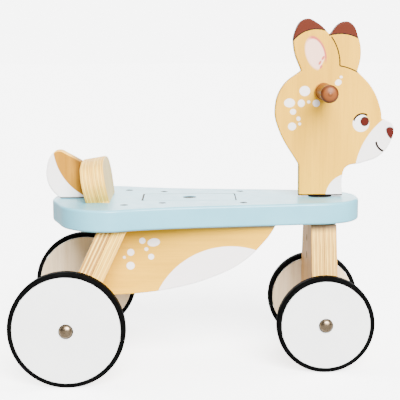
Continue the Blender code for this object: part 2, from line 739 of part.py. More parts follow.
def make_steering(screw_cuts):
    """Shaft, two flanged bushes, the stop pin and the pin through the neck."""
    bottom = LEG_TOP - SHAFT_IN_LEG
    top = NECK_FOOT + SHAFT_IN_NECK
    shaft = cylinder_piece(
        "steering_shaft", SHAFT_RADIUS, top - bottom, STEEL, STEERING, (0.0, 0.0, (top + bottom) / 2.0)
    )
    near_end = BOARD / 2.0 - BOLT_SUNK
    pin_place = (0.0, near_end - NECK_PIN_LENGTH / 2.0, NECK_FOOT + NECK_PIN_HEIGHT)
    cylinder_piece(
        "neck_pin", NECK_PIN_RADIUS, NECK_PIN_LENGTH, STEEL, STEERING, pin_place, "+Y", ROUND_SMALL
    )
    cut_length = NECK_PIN_LENGTH + FIT + CUT_OVER
    cut_place = (0.0, near_end + CUT_OVER - cut_length / 2.0, NECK_FOOT + NECK_PIN_HEIGHT)
    pin_cut = cylinder_piece(
        "neck_pin_cutter", NECK_PIN_RADIUS + FIT, cut_length, None, STEERING, cut_place, "+Y", ROUND_SMALL
    )
    cut(shaft, pin_cut, *screw_cuts)
    sleeve = SEAT_THICKNESS / 2.0 - FIT
    inner = SHAFT_RADIUS + FIT
    outer = inner + BUSH_WALL
    profile = [
        (FLANGE_RADIUS, FLANGE_THICKNESS),
        (FLANGE_RADIUS, 0.0),
        (outer, 0.0),
        (outer, -sleeve),
        (inner, -sleeve),
        (inner, FLANGE_THICKNESS),
    ]
    for name, level, axis in (
        ("upper_bush", SEAT_TOP + FIT, "+Z"),
        ("lower_bush", SEAT_BOTTOM - FIT, "-Z"),
    ):
        place = (WHEELBASE, 0.0, level)
        turned_piece(name, profile, NYLON, ROOT, place, axis_rotation(axis), closed=True)
    pin_length = STOP_PIN_IN_LEG + STEER_GAP + STOP_PIN_IN_SEAT
    pin_level = LEG_TOP - STOP_PIN_IN_LEG + pin_length / 2.0
    cylinder_piece(
        "stop_pin", STOP_PIN_RADIUS, pin_length, STEEL, STEERING,
        (0.0, STOP_PIN_OFFSET, pin_level), sides=ROUND_SMALL,
    )
    return pin_cut


def make_head(pin_cut):
    """The deer's head and neck in one board, bored for the shaft and the handle rod."""
    outline = [(-NECK_HALF_WIDTH, 0.0, "corner")] + in_metres(HEAD_OUTLINE)
    outline.append((NECK_HALF_WIDTH, 0.0, "corner"))
    mesh = board_mesh("head_board", outline, BOARD, HEAD_EDGE)
    head = finish_piece("head_board", mesh, FAWN_FACE, STEERING, (0.0, 0.0, NECK_FOOT), UPRIGHT)
    shaft_length = SHAFT_IN_NECK + FIT + CUT_OVER
    shaft_cut = cylinder_piece(
        "neck_shaft_cutter", SHAFT_RADIUS + FIT, shaft_length, None, STEERING,
        (0.0, 0.0, NECK_FOOT - CUT_OVER + shaft_length / 2.0),
    )
    handle = (HANDLE_FORWARD, 0.0, NECK_FOOT + HANDLE_HEIGHT)
    rod_cut = cylinder_piece(
        "handle_rod_cutter", HANDLE_ROD_RADIUS + FIT, 2.0 * BOARD, None, STEERING, handle, "+Y"
    )
    cut(head, shaft_cut, rod_cut, pin_cut)
    rod_length = BOARD + 2.0 * (FIT + HANDLE_ROD_IN_GRIP)
    cylinder_piece("handle_rod", HANDLE_ROD_RADIUS, rod_length, BIRCH, STEERING, handle, "+Y")
    return head


def grip_profile():
    """A gently waisted peg with a domed end and a blind bore for the rod."""
    bore = HANDLE_ROD_RADIUS + FIT
    dome_steps = 4
    profile = []
    for step in range(dome_steps + 1):
        angle = math.pi / 2.0 * (1.0 - step / dome_steps)
        radius = GRIP_RADIUS * math.cos(angle)
        profile.append((radius, GRIP_LENGTH - GRIP_DOME * (1.0 - math.sin(angle))))
    profile += [
        (GRIP_RADIUS - GRIP_WAIST, GRIP_WAIST_PLACE),
        (GRIP_RADIUS, GRIP_FOOT_ROUND * 2.0),
        (GRIP_RADIUS - CORNER_DIP * GRIP_FOOT_ROUND, CORNER_DIP * GRIP_FOOT_ROUND),
        (GRIP_RADIUS - GRIP_FOOT_ROUND, 0.0),
        (bore, 0.0),
        (bore, HANDLE_ROD_IN_GRIP + FIT),
        (0.0, HANDLE_ROD_IN_GRIP + FIT),
    ]
    return profile


def make_grips():
    """One turned grip on each side of the head."""
    for side_name, side in SIDES:
        place = (HANDLE_FORWARD, side * (BOARD / 2.0 + FIT), NECK_FOOT + HANDLE_HEIGHT)
        turn = axis_rotation("+Y" if side > 0.0 else "-Y")
        turned_piece("grip" + side_name, grip_profile(), BEECH, STEERING, place, turn)


def belly_rear_edge(drop):
    """Station of the rear leg's front face at a drop below the seat, less the fit."""
    height = SEAT_BOTTOM - drop
    middle = lean_point(0.0, REAR_WHEEL_RADIUS, REAR_LEAN, height)
    return middle + (BOARD + FIT / 2.0 + FIT) / math.cos(REAR_LEAN)


def front_board_outline(clearance):
    """The compartment's sloping front board, cut level at both ends."""
    foot = FLOOR_DEPTH - FLOOR_THICKNESS - FIT + clearance
    head = FIT - clearance
    slope = math.hypot(FRONT_BOARD_RUN, foot - head) / (foot - head)
    thickness = FLOOR_THICKNESS * slope + 2.0 * clearance
    return [
        (FLOOR_FRONT - thickness + clearance, -foot, "corner"),
        (FLOOR_FRONT + clearance, -foot, "corner"),
        (FLOOR_FRONT + FRONT_BOARD_RUN + clearance, -head, "corner"),
        (FLOOR_FRONT + FRONT_BOARD_RUN - thickness + clearance, -head, "corner"),
    ]


def floor_outline(clearance):
    """The compartment's floor, from the rear leg's face to the sloping front board."""
    top = FLOOR_DEPTH - FLOOR_THICKNESS - clearance
    bottom = FLOOR_DEPTH + clearance
    front = FLOOR_FRONT + clearance
    return [
        (belly_rear_edge(bottom) - clearance, -bottom, "corner"),
        (front, -bottom, "corner"),
        (front, -top, "corner"),
        (belly_rear_edge(top) - clearance, -top, "corner"),
    ]


def make_belly(fastener_cuts):
    """Two belly panels with the compartment's floor and front board let into them."""
    half_inside = BELLY_HALF_SPAN - BOARD / 2.0
    width = 2.0 * (half_inside + GROOVE_DEPTH - FIT)
    place = (0.0, 0.0, SEAT_BOTTOM)
    cutters = []
    for name, outline in (("belly_floor", floor_outline), ("belly_front_board", front_board_outline)):
        mesh = board_mesh(name, outline(0.0), width)
        finish_piece(name, mesh, BIRCH, ROOT, place, UPRIGHT)
        mesh = board_mesh(name + "_groove_cutter", outline(FIT), 2.0 * (half_inside + GROOVE_DEPTH))
        cutters.append(finish_piece(name + "_groove_cutter", mesh, None, ROOT, place, UPRIGHT))
    for label in ("rear", "front"):
        cutters.append(fastener_cuts["belly_bolt_" + label])
        cutters.append(fastener_cuts["belly_nut_" + label])
    underside = [(x * MM, -drop * MM, kind) for x, drop, kind in BELLY_UNDERSIDE]
    outline = [(belly_rear_edge(FIT), -FIT, "corner"), (BELLY_NOSE, -FIT, "corner")] + underside
    outline.append((belly_rear_edge(BELLY_DEPTH), -BELLY_DEPTH, "corner"))
    for side_name, side in SIDES:
        name = "belly_panel" + side_name
        mesh = board_mesh(name, outline, BOARD, BOARD_EDGE, rims=(-side,))
        spot = (0.0, side * BELLY_HALF_SPAN, SEAT_BOTTOM)
        panel = finish_piece(name, mesh, FAWN_FACE, ROOT, spot, UPRIGHT)
        cut(panel, *cutters)


def make_tail(fastener_cuts):
    """The two-board backrest across the seat and the tail board behind it."""
    lean = BACKREST_LEAN
    under = BACKREST_BOARD * math.tan(abs(lean)) + CUT_OVER
    half = [(0.0, -under, "corner"), (BACKREST_FOOT_HALF_WIDTH, -under, "corner")]
    half += [(BACKREST_FOOT_HALF_WIDTH, 0.0, "corner")]
    half += in_metres(BACKREST_OUTLINE) + [(0.0, BACKREST_HEIGHT, "smooth")]
    size = (
        BACKREST_BOARD * TRIM_WIDER, BACKREST_FOOT_HALF_WIDTH * TRIM_WIDER, under * TRIM_WIDER
    )
    level = SEAT_TOP + FIT - size[2] / 2.0
    trim = box_cutter("backrest_trim_cutter", size, ROOT, (BACKREST_STATION, 0.0, level))
    names = ("backrest_front_board", "backrest_rear_board")
    place = (BACKREST_STATION, 0.0, SEAT_TOP)
    cutters = (trim, fastener_cuts["backrest_screw"])
    laminated_pair(names, both_sides(half), BACKREST_BOARD, ROOT, place, lean, cutters)
    rear_face = BACKREST_STATION - (BACKREST_BOARD + FIT / 2.0 + FIT) / math.cos(lean)
    foot_front = lean_point(rear_face, SEAT_TOP, lean, SEAT_TOP + FIT)
    top_front = lean_point(rear_face, SEAT_TOP, lean, SEAT_TOP + FIT + TAIL_FRONT_HEIGHT)
    outline = [(-TAIL_FOOT, 0.0, "corner"), (foot_front, 0.0, "corner")]
    outline += [(top_front, TAIL_FRONT_HEIGHT, "corner")] + in_metres(TAIL_OUTLINE)
    mesh = board_mesh("tail_board", outline, BOARD, BOARD_EDGE)
    finish_piece("tail_board", mesh, TAIL_FACE, ROOT, (0.0, 0.0, SEAT_TOP + FIT), UPRIGHT)


def tyre_profile(radius):
    """A tyre band with rounded shoulders, about the wheel's middle plane."""
    corner = radius / math.cos(math.pi / WHEEL_SIDES)
    half = WHEEL_WIDTH / 2.0 - TYRE_INSET
    shoulder_steps = 2
    profile = []
    for step in range(shoulder_steps + 1):
        angle = math.pi / 2.0 * step / shoulder_steps
        drop = TYRE_SHOULDER * (1.0 - math.sin(angle))
        profile.append((corner - drop, half - TYRE_SHOULDER * (1.0 - math.cos(angle))))
    profile += [(tread, -height) for tread, height in reversed(profile)]
    seat = corner - TYRE_THICKNESS
    return profile + [(seat, -half), (seat, half)]


def disc_profile(radius):
    """A wheel disc bored for its bush, with a small chamfer at its outer rim."""
    rim = radius / math.cos(math.pi / WHEEL_SIDES) - TYRE_THICKNESS - FIT
    bore = AXLE_RADIUS + RUN + WHEEL_BUSH_WALL + FIT
    half = WHEEL_WIDTH / 2.0
    return [
        (bore, half),
        (rim - WHEEL_CHAMFER, half),
        (rim, half - WHEEL_CHAMFER),
        (rim, -half),
        (bore, -half),
    ]


def cap_profile():
    """A domed push-on cap, its foot at height 0 and a blind bore for the axle's end."""
    bore = AXLE_RADIUS + FIT
    rise = CAP_HEIGHT - CAP_RIM
    dome_steps = 3
    profile = []
    for step in range(dome_steps + 1):
        angle = math.pi / 2.0 * (1.0 - step / dome_steps)
        profile.append((CAP_RADIUS * math.cos(angle), CAP_RIM + rise * math.sin(angle)))
    profile += [(CAP_RADIUS, 0.0), (bore, 0.0), (bore, CAP_GRIP), (0.0, CAP_GRIP)]
    return profile


def make_axle(label, foot_half, radius, parent):
    """One axle through its leg, with washers inside the wheels and caps outside them."""
    wheel_inner = foot_half + RUN + WASHER_THICKNESS + RUN
    wheel_outer = wheel_inner + WHEEL_WIDTH
    cap_foot = wheel_outer + RUN
    axle_half = cap_foot + CAP_GRIP - FIT
    centre = (0.0, 0.0, radius)
    cylinder_piece(label + "_axle", AXLE_RADIUS, 2.0 * axle_half, STEEL, parent, centre, "+Y")
    groove = cylinder_piece(
        label + "_axle_cutter", AXLE_RADIUS + FIT, 2.0 * wheel_outer, None, parent, centre, "+Y"
    )
    hole = AXLE_RADIUS + FIT
    half = WASHER_THICKNESS / 2.0
    ring = [(WASHER_RADIUS, half), (WASHER_RADIUS, -half), (hole, -half), (hole, half)]
    wheel_middle = (wheel_inner + wheel_outer) / 2.0
    for side_name, side in SIDES:
        turn = axis_rotation("+Y" if side > 0.0 else "-Y")
        spot = (0.0, side * (foot_half + RUN + half), radius)
        turned_piece(label + "_washer" + side_name, ring, NYLON, parent, spot, turn, HUB_SIDES, closed=True)
        spot = (0.0, side * cap_foot, radius)
        turned_piece(label + "_hub_cap" + side_name, cap_profile(), STEEL, parent, spot, turn, HUB_SIDES)
        make_wheel(label, side_name, side * wheel_middle, radius, turn, parent)
    return groove


def make_wheel(label, side_name, offset, radius, turn, parent):
    """A disc, its tyre and its bush, on an empty at the wheel's centre."""
    hub = make_empty(label + "_hub" + side_name, parent, (0.0, offset, radius))
    here = (0.0, 0.0, 0.0)
    name = label + "_wheel" + side_name
    turned_piece(name, disc_profile(radius), WHITE_PAINT, hub, here, turn, WHEEL_SIDES, closed=True)
    name = label + "_tyre" + side_name
    turned_piece(name, tyre_profile(radius), RUBBER, hub, here, turn, WHEEL_SIDES, closed=True)
    inner = AXLE_RADIUS + RUN
    outer = inner + WHEEL_BUSH_WALL
    half = WHEEL_WIDTH / 2.0
    ring = [(outer, half), (outer, -half), (inner, -half), (inner, half)]
    turned_piece(label + "_wheel_bush" + side_name, ring, NYLON, hub, here, turn, HUB_SIDES, closed=True)


def main():
    """Build every piece of the ride-on."""
    rear_groove = make_axle("rear", REAR_FOOT_HALF_WIDTH, REAR_WHEEL_RADIUS, ROOT)
    front_groove = make_axle("front", FRONT_FOOT_HALF_WIDTH, FRONT_WHEEL_RADIUS, STEERING)
    fastener_cuts = make_seat_fasteners()
    make_seat(fastener_cuts)
    make_lid()
    make_rear_leg(fastener_cuts, rear_groove)
    _, screw_cuts = make_front_leg(front_groove)
    pin_cut = make_steering(screw_cuts)
    make_head(pin_cut)
    make_grips()
    make_belly(fastener_cuts)
    make_tail(fastener_cuts)
    bpy.context.view_layer.update()


main()
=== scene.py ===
"""Looks of the toddler's wooden deer ride-on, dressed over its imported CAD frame.

Lengths are written in millimetres. A station is a distance forward of the rear axle.
"""

import json
import math

import bmesh
import bpy
from mathutils import Matrix, Vector


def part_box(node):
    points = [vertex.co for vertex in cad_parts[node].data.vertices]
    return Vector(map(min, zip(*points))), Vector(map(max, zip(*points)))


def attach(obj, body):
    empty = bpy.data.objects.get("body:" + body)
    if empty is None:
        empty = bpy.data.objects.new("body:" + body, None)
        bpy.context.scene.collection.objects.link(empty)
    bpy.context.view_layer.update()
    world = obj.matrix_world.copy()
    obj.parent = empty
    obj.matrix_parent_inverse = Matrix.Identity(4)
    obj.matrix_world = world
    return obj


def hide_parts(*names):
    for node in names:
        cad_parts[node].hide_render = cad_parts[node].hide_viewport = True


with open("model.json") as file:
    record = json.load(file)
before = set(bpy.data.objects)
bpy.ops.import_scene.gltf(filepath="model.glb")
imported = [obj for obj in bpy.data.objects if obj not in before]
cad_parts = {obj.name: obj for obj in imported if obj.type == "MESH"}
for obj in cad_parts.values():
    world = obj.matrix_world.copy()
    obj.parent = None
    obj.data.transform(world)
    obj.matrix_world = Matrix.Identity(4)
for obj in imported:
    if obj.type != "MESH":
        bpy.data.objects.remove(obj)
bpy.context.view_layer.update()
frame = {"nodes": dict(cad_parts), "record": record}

MM = 0.001


def middle(node):
    """The middle of a CAD node's box."""
    low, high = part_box(node)
    return (Vector(low) + Vector(high)) / 2.0


REAR_AXLE = middle("rear_axle")

# Fits and rounding
GAP = 0.3                   # between faces that touch
WELD = 0.002                # points nearer than this are one
CORNER_ANGLE = math.radians(40.0)
SMOOTH_ANGLE = math.radians(32.0)
FLAT_ANGLE = math.radians(0.05)
LEVEL_FACE = 0.95           # faces whose normals point up more than this lie level
UPRIGHT_FACE = 0.1          # and less than this stand upright
CURVE_STEPS = 12
RIM_STEPS = 4
CORNER_STEPS = 6
CUT_OVER = 6.0              # how far a saw cut or a bore runs past a board

# Patterns
FINER_SHARE = 0.55          # how strongly each finer part of a random pattern shows
FLAME_DEPTH = 60.0          # how far down a flame of the grain runs
NO_DEPTH = 1000.0           # metres: so large that a flat mark has no depth

# Seat and lid
SEAT_TOP = 238.0
SEAT_THICKNESS = 30.5
SEAT_ROUND = 3.5
SEAT_REAR = 32.0
SEAT_NOSE = 412.0
SEAT_HALF_WIDTHS = (
    (-21.0, 47.0), (3.0, 97.0), (48.0, 119.0), (100.0, 105.0), (155.0, 92.0),
    (243.0, 80.0), (326.0, 69.0), (376.0, 60.0), (402.0, 38.0),
)
LID_REAR = 99.0
LID_LENGTH = 135.0
LID_WIDTH = 64.0
LID_THICKNESS = 9.0
LID_GAP = 1.2
LID_LEDGE = 8.0
LID_CORNER = 5.0
LID_ROUND = 0.5
GAP_SHADE_REAR = 1.3           # a dark strip is painted this far round the lid's pocket, as shade in its gap
GAP_SHADE_FRONT = 0.5
GAP_SHADE_SIDE = 0.5
GAP_SHADE_SOFT = 0.1           # the painted strip's edge fades over this much to each side
LID_MIDDLE = LID_REAR + LID_LENGTH / 2.0
FINGER_HOLE_RADIUS = 10.0

# Boards of 18 mm plywood in seven plies
BOARD = 18.0
PLY_COUNT = 7
BOARD_ROUND = 1.5
HEAD_ROUND = 2.0
FOOT_CORNER = 14.0

# Legs
REAR_LEAN = math.radians(25.5)
REAR_RADIUS = 80.0
REAR_HALF_WIDTHS = (130.5, 105.0)
FRONT_RADIUS = 69.0
WHEELBASE = 357.0
FRONT_HALF_WIDTHS = (71.2, 52.0)
FRONT_FLARE_HEIGHT = 135.0
FOOT_BELOW_AXLE = 20.0
STEER_GAP = 2.3

# Head board: points from the steering axis and the neck's foot
NECK_HALF_WIDTH = 31.8
# how high the dark band reaches that is painted as shade at the neck's foot and the tail's foot
FOOT_SHADE_HEIGHT = 2.2
HEAD_OUTLINE = (
    (-32.0, 45.0, "corner"), (-60.5, 95.0, "smooth"), (-66.6, 125.0, "smooth"),
    (-56.0, 158.0, "smooth"), (-29.6, 180.4, "corner"), (-40.0, 210.0, "smooth"),
    (-39.5, 234.0, "smooth"), (-24.5, 253.4, "smooth"), (-6.0, 247.0, "smooth"),
    (10.6, 231.1, "corner"), (27.0, 248.3, "smooth"), (39.5, 248.0, "smooth"),
    (51.5, 226.0, "smooth"), (55.0, 202.0, "smooth"), (50.5, 179.2, "corner"),
    (72.0, 155.5, "smooth"), (84.6, 126.0, "smooth"), (87.0, 110.8, "corner"),
    (101.6, 104.0, "smooth"), (104.6, 94.0, "smooth"), (101.6, 81.5, "smooth"),
    (86.0, 59.0, "smooth"), (58.0, 47.4, "smooth"), (36.5, 41.5, "smooth"),
    (31.0, 27.0, "smooth"),
)
HANDLE_FORWARD = 2.0
HANDLE_HEIGHT = 151.0
GRIP_LENGTH = 77.0
GRIP_RADIUS = 12.5
GRIP_DOME = 8.0
GRIP_SHAFT = (
    (12.3, 63.0), (11.5, 50.0), (11.1, 38.0), (11.1, 28.0), (11.4, 18.0), (11.5, 12.6),
    (11.0, 11.9), (11.0, 10.6), (11.6, 9.8), (12.4, 9.2), (12.5, 8.6), (12.5, 1.2),
    (12.2, 0.4), (11.4, 0.0), (0.0, 0.0),
)
NUB_HEIGHT = 0.6
# Where the grip darkens, out from the middle plane: from its first trace to its full. Oil darkens
# the shaft and the domed end grain; the groove and the dome's rim are painted shade
SHAFT_STARTS = (18.5, 19.5)
SHAFT_ENDS = (70.0, 78.0)
GROOVE_STARTS = (18.8, 19.6)
GROOVE_ENDS = (21.5, 22.3)
DOME_STARTS = (74.0, 80.0)
RIM_STARTS = (70.0, 74.0)
# The same, out from the grip's own axis
RIM_REACH = (8.2, 10.4)
NUB_STARTS = (1.4, 2.2)
NUB_ENDS = (2.6, 3.6)

# Belly
BELLY_HALF_SPAN = 54.0
BELLY_NOSE = 288.0
BELLY_DEPTH = 100.0
FLOOR_DEPTH = 71.5
FLOOR_THICKNESS = 9.0
FLOOR_FRONT = 204.0
FRONT_BOARD_RUN = 32.0
GROOVE_DEPTH = 5.0
BELLY_UNDERSIDE = (
    (285.0, 6.5, "smooth"), (271.0, 25.5, "smooth"), (240.0, 54.5, "smooth"),
    (195.0, 76.5, "smooth"), (145.0, 90.5, "smooth"), (86.0, 98.5, "smooth"),
)

# Backrest and tail
BACKREST_LEAN = math.radians(-9.5)
BACKREST_STATION = 37.2
BACKREST_BOARD = 16.5
BACKREST_HALF_WIDTH = 52.0
BACKREST_HEIGHT = 57.5
BACKREST_OUTLINE = (
    (62.0, 14.0, "smooth"), (66.5, 30.0, "smooth"), (58.0, 46.0, "smooth"), (33.0, 55.0, "smooth"),
)
TAIL_ROUND = 2.4
TAIL_FOOT = 20.0
TAIL_FRONT_HEIGHT = 54.0
TAIL_OUTLINE = (
    (-8.0, 64.5, "smooth"), (-21.5, 69.8, "smooth"), (-32.0, 63.5, "smooth"),
    (-39.0, 46.0, "smooth"), (-39.0, 26.0, "smooth"), (-30.8, 9.5, "smooth"),
)

# Wheels
WHEEL_WIDTH = 18.0
TYRE_THICKNESS = 6.5
TYRE_HALF = 8.3
TYRE_SHOULDER = 3.5
WHEEL_SIDES = 128
SMALL_SIDES = 48
AXLE_RADIUS = 4.0
BUSH_RADIUS = 6.7
CAP_RADIUS = 10.0
CAP_HEIGHT = 5.5
CAP_GRIP = 3.6
WASHER_RADIUS = 9.0
WASHER_THICKNESS = 2.5
RUN = 0.5

# Steering
STEER_LIMIT = math.radians(30.0)
SHAFT_RADIUS = 5.0
BUSH_BORE = 9.6
FLANGE_RADIUS = 17.0
FLANGE_THICKNESS = 1.7
STOP_PIN_OFFSET = 36.0
STOP_PIN_RADIUS = 3.0
STOP_PIN_IN_SEAT = 6.0
LEG_SCREW_DEPTHS = (28.8, 54.0)
LEG_SCREW_RADIUS = 2.0
LEG_SCREW_HEAD_RADIUS = 4.0
LEG_SCREW_HEAD_HEIGHT = 2.5
LEG_SCREW_LENGTH = 31.0
SOCKET_RADIUS = 2.5
SOCKET_DEPTH = 2.6
NECK_PIN_HEIGHT = 25.0
NECK_PIN_RADIUS = 2.0
NECK_PIN_LENGTH = 15.0

# Fasteners
BOLT_HEAD_RADIUS = 5.0
BOLT_HEAD_HEIGHT = 4.0
BOLT_RADIUS = 3.0
BOLT_LENGTH = 60.0
SCREW_HEAD_RADIUS = 4.5
SCREW_HEAD_HEIGHT = 3.0
SCREW_RADIUS = 2.5
SCREW_LENGTH = 58.0
BOLT_SUNK = 0.4
LEG_BOLT_OFFSET = 70.0
BELLY_BOLT_STATIONS = (128.5, 243.0)
NUT_RADIUS = 5.0
NUT_DEPTH = 50.0
BELLY_NUT_LENGTH = 13.0
LEG_NUT_LENGTH = 26.0
NUT_SLOT_WIDTH = 1.4
NUT_SLOT_HEIGHT = 3.0
BACKREST_SCREW_OFFSET = 30.0

# The photograph's camera, solved from the ellipses of the wheels. Angles are in radians
CAMERA_PLACE = (168.2, -1529.6, 475.5)
CAMERA_YAW = 0.009
CAMERA_PITCH = 0.157
CAMERA_ROLL = -0.004
CAMERA_LENS = 95.4
CAMERA_SENSOR = 36.0
CAMERA_REACH = 50.0         # metres

# Studio light
FLOOR_SIZE = 30.0           # metres
WALL_LIGHT = 0.3            # the white room, as it lights the ride-on
PAPER_LIGHT = 7.0           # the white backdrop behind it, as the camera sees it
PAPER_GLOW = 3.2            # the light that comes through the paper from behind
GLOSS_LIGHT = 8.0           # the same backdrop, as the seat's gloss shows it
BOUNCE_LIGHT = 1.6          # what the floor throws back up
# Each lamp's height and way round, its softness, all in degrees, and its strength
KEY_LIGHT = (34.5, 14.0, 42.0, 16.5)
TOP_LIGHT = (70.0, 200.0, 60.0, 2.5)


# Colours and nodes

def linear(hex_colour):
    """An sRGB hex colour as the linear colour that a socket takes."""
    parts = [int(hex_colour[index:index + 2], 16) / 255.0 for index in (0, 2, 4)]
    toe, slope, lift, power = 0.04045, 12.92, 0.055, 2.4
    made = [
        part / slope if part <= toe else ((part + lift) / (1.0 + lift)) ** power for part in parts
    ]
    return (*made, 1.0)


def feed(tree, node, sockets):
    """Sets a node's inputs, or links them from an output or from another node.

    Each input goes by its name or its number among those in use. Another node gives its
    first output in use.
    """
    inputs = [socket for socket in node.inputs if socket.enabled]
    for key, value in sockets.items():
        socket = next(one for number, one in enumerate(inputs) if key in (number, one.name))
        if isinstance(value, bpy.types.Node):
            value = next(output for output in value.outputs if output.enabled)
        if isinstance(value, bpy.types.NodeSocket):
            tree.links.new(value, socket)
        else:
            socket.default_value = value
    return node


def add_node(tree, kind, sockets=None, **settings):
    """Adds one node with its settings, its values and its links."""
    node = tree.nodes.new(kind)
    for name, value in settings.items():
        setattr(node, name, value)
    return feed(tree, node, sockets or {})


def new_finish(name, constants):
    """A material, its node tree and its shader, with the constant sockets set on the shader."""
    finish = bpy.data.materials.new(name)
    finish.use_nodes = True
    tree = finish.node_tree
    return finish, tree, feed(tree, tree.nodes["Principled BSDF"], constants)


def own_place(tree, place):
    """Where a point lies in a board's own plane, from the piece's Object coordinates."""
    coordinates = add_node(tree, "ShaderNodeTexCoord")
    return add_node(
        tree, "ShaderNodeMapping",
        {
            "Vector": coordinates.outputs["Object"],
            "Location": place.to_translation(),
            "Rotation": place.to_euler(),
        },
        vector_type="TEXTURE",
    )


def scale_of(*lengths):
    """The scale at which a pattern's features are so many millimetres long on each axis."""
    return [1.0 / (length * MM) for length in lengths]


# Painted and printed marks

def from_middle(tree, where, shape):
    """Distance from an ellipse's middle in its own radii: 1 is its edge."""
    x, y, radius_x, radius_y, turn = shape
    placed = add_node(
        tree, "ShaderNodeMapping",
        {
            "Vector": where,
            "Location": (x * MM, y * MM, 0.0),
            "Rotation": (0.0, 0.0, math.radians(turn)),
            "Scale": (radius_x * MM, radius_y * MM, NO_DEPTH),
        },
        vector_type="TEXTURE",
    )
    return add_node(tree, "ShaderNodeVectorMath", {0: placed}, operation="LENGTH")


def filled(tree, where, shape, soft=0.35):
    """1 inside an ellipse and 0 outside, with an edge a little soft, as ink soaks in."""
    edge = soft / min(shape[2], shape[3])
    reach = from_middle(tree, where, shape)
    return add_node(
        tree, "ShaderNodeMapRange",
        {
            "Value": reach,
            "From Min": 1.0 - edge,
            "From Max": 1.0 + edge,
            "To Min": 1.0,
            "To Max": 0.0,
        },
    )


def drawn(tree, where, shape, width, soft=0.3):
    """1 on a line of a width along an ellipse's edge."""
    radius = min(shape[2], shape[3])
    half = width / 2.0
    past_edge = add_node(
        tree, "ShaderNodeMath", {0: from_middle(tree, where, shape), 1: 1.0}, operation="SUBTRACT"
    )
    away = add_node(tree, "ShaderNodeMath", {0: past_edge}, operation="ABSOLUTE")
    return add_node(
        tree, "ShaderNodeMapRange",
        {
            "Value": away,
            "From Min": (half - soft) / radius,
            "From Max": (half + soft) / radius,
            "To Min": 1.0,
            "To Max": 0.0,
        },
    )


def between(tree, reach, starts, ends):
    """1 between two places on a reach, each edge fading over its own pair of millimetre marks."""
    rising = add_node(
        tree, "ShaderNodeMapRange",
        {"Value": reach, "From Min": starts[0] * MM, "From Max": starts[1] * MM},
    )
    falling = add_node(
        tree, "ShaderNodeMapRange",
        {
            "Value": reach,
            "From Min": ends[0] * MM,
            "From Max": ends[1] * MM,
            "To Min": 1.0,
            "To Max": 0.0,
        },
    )
    return add_node(tree, "ShaderNodeMath", {0: rising, 1: falling}, operation="MULTIPLY")


# Wood

# Pale, warm and line colours of each stain
FAWN = ("E4AC27", "D49E20", "BB861A")
TAN = ("B07A18", "9C6812", "7E520C")
CLEAR = ("EBCB85", "DDB76C", "C0954A")
# a darker copy of the clear stain, painted shade on the front leg's veneer
CLEAR_SHADED = ("DAAA6C", "CC9757", "B07C3C")
BARE = ("E3CDAC", "D8BF98", "BA9A72")
# Two long-grain plies, two end-grain plies and the fibres of an edge: plain, pale and brown
PLY = ("EEC05A", "E6B652", "D6A448", "C49040", "9C7032")
PALE_PLY = ("FBD05C", "F5C250", "ECB544", "E2A83A", "BC8434")
BROWN_PLY = ("FACE6A", "F4C25C", "B88438", "A07030", "76501E")
GLUE_BROWN = linear("4A3014")
LAYERS_BELOW = 20.0         # whole layers added, so that each ply's number is above zero


def veneer(tree, where, colours, upright_grain):
    """Rotary-cut veneer under clear lacquer: broad soft flames, fine streaks and short pores."""
    pale, warm, line = [linear(colour) for colour in colours]

    def grain(length, width):
        """The scale of a pattern that is so long along the grain and so wide across it."""
        flat = (width, length) if upright_grain else (length, width)
        return scale_of(*flat, FLAME_DEPTH)

    flames = add_node(
        tree, "ShaderNodeTexNoise",
        {
            "Vector": add_node(
                tree, "ShaderNodeMapping", {"Vector": where, "Scale": grain(260.0, 26.0)}
            ),
            "Scale": 1.0,
            "Detail": 2.0,
            "Roughness": FINER_SHARE,
        },
    )
    streaks = add_node(
        tree, "ShaderNodeTexNoise",
        {
            "Vector": add_node(
                tree, "ShaderNodeMapping", {"Vector": where, "Scale": grain(90.0, 2.6)}
            ),
            "Scale": 1.0,
            "Detail": 4.0,
            "Roughness": FINER_SHARE,
        },
    )
    # Real pores are 0.1 mm wide; they are drawn at 1 mm so that they show
    pores = add_node(
        tree, "ShaderNodeTexNoise",
        {
            "Vector": add_node(
                tree, "ShaderNodeMapping", {"Vector": where, "Scale": grain(14.0, 1.0)}
            ),
            "Scale": 1.0,
            "Detail": 1.0,
            "Roughness": FINER_SHARE,
        },
    )
    warmed = add_node(
        tree, "ShaderNodeMapRange", {"Value": flames, "From Min": 0.36, "From Max": 0.66}
    )
    lined = add_node(
        tree, "ShaderNodeMapRange",
        {"Value": streaks, "From Min": 0.45, "From Max": 0.8, "To Min": 0.0, "To Max": 0.42},
    )
    pored = add_node(
        tree, "ShaderNodeMapRange",
        {"Value": pores, "From Min": 0.62, "From Max": 0.78, "To Min": 0.0, "To Max": 0.35},
    )
    tone = add_node(
        tree, "ShaderNodeMix", {"Factor": warmed, "A": pale, "B": warm}, data_type="RGBA"
    )
    tone = add_node(
        tree, "ShaderNodeMix", {"Factor": lined, "A": tone, "B": line}, data_type="RGBA"
    )
    tone = add_node(
        tree, "ShaderNodeMix", {"Factor": pored, "A": tone, "B": line}, data_type="RGBA"
    )
    return tone, pored


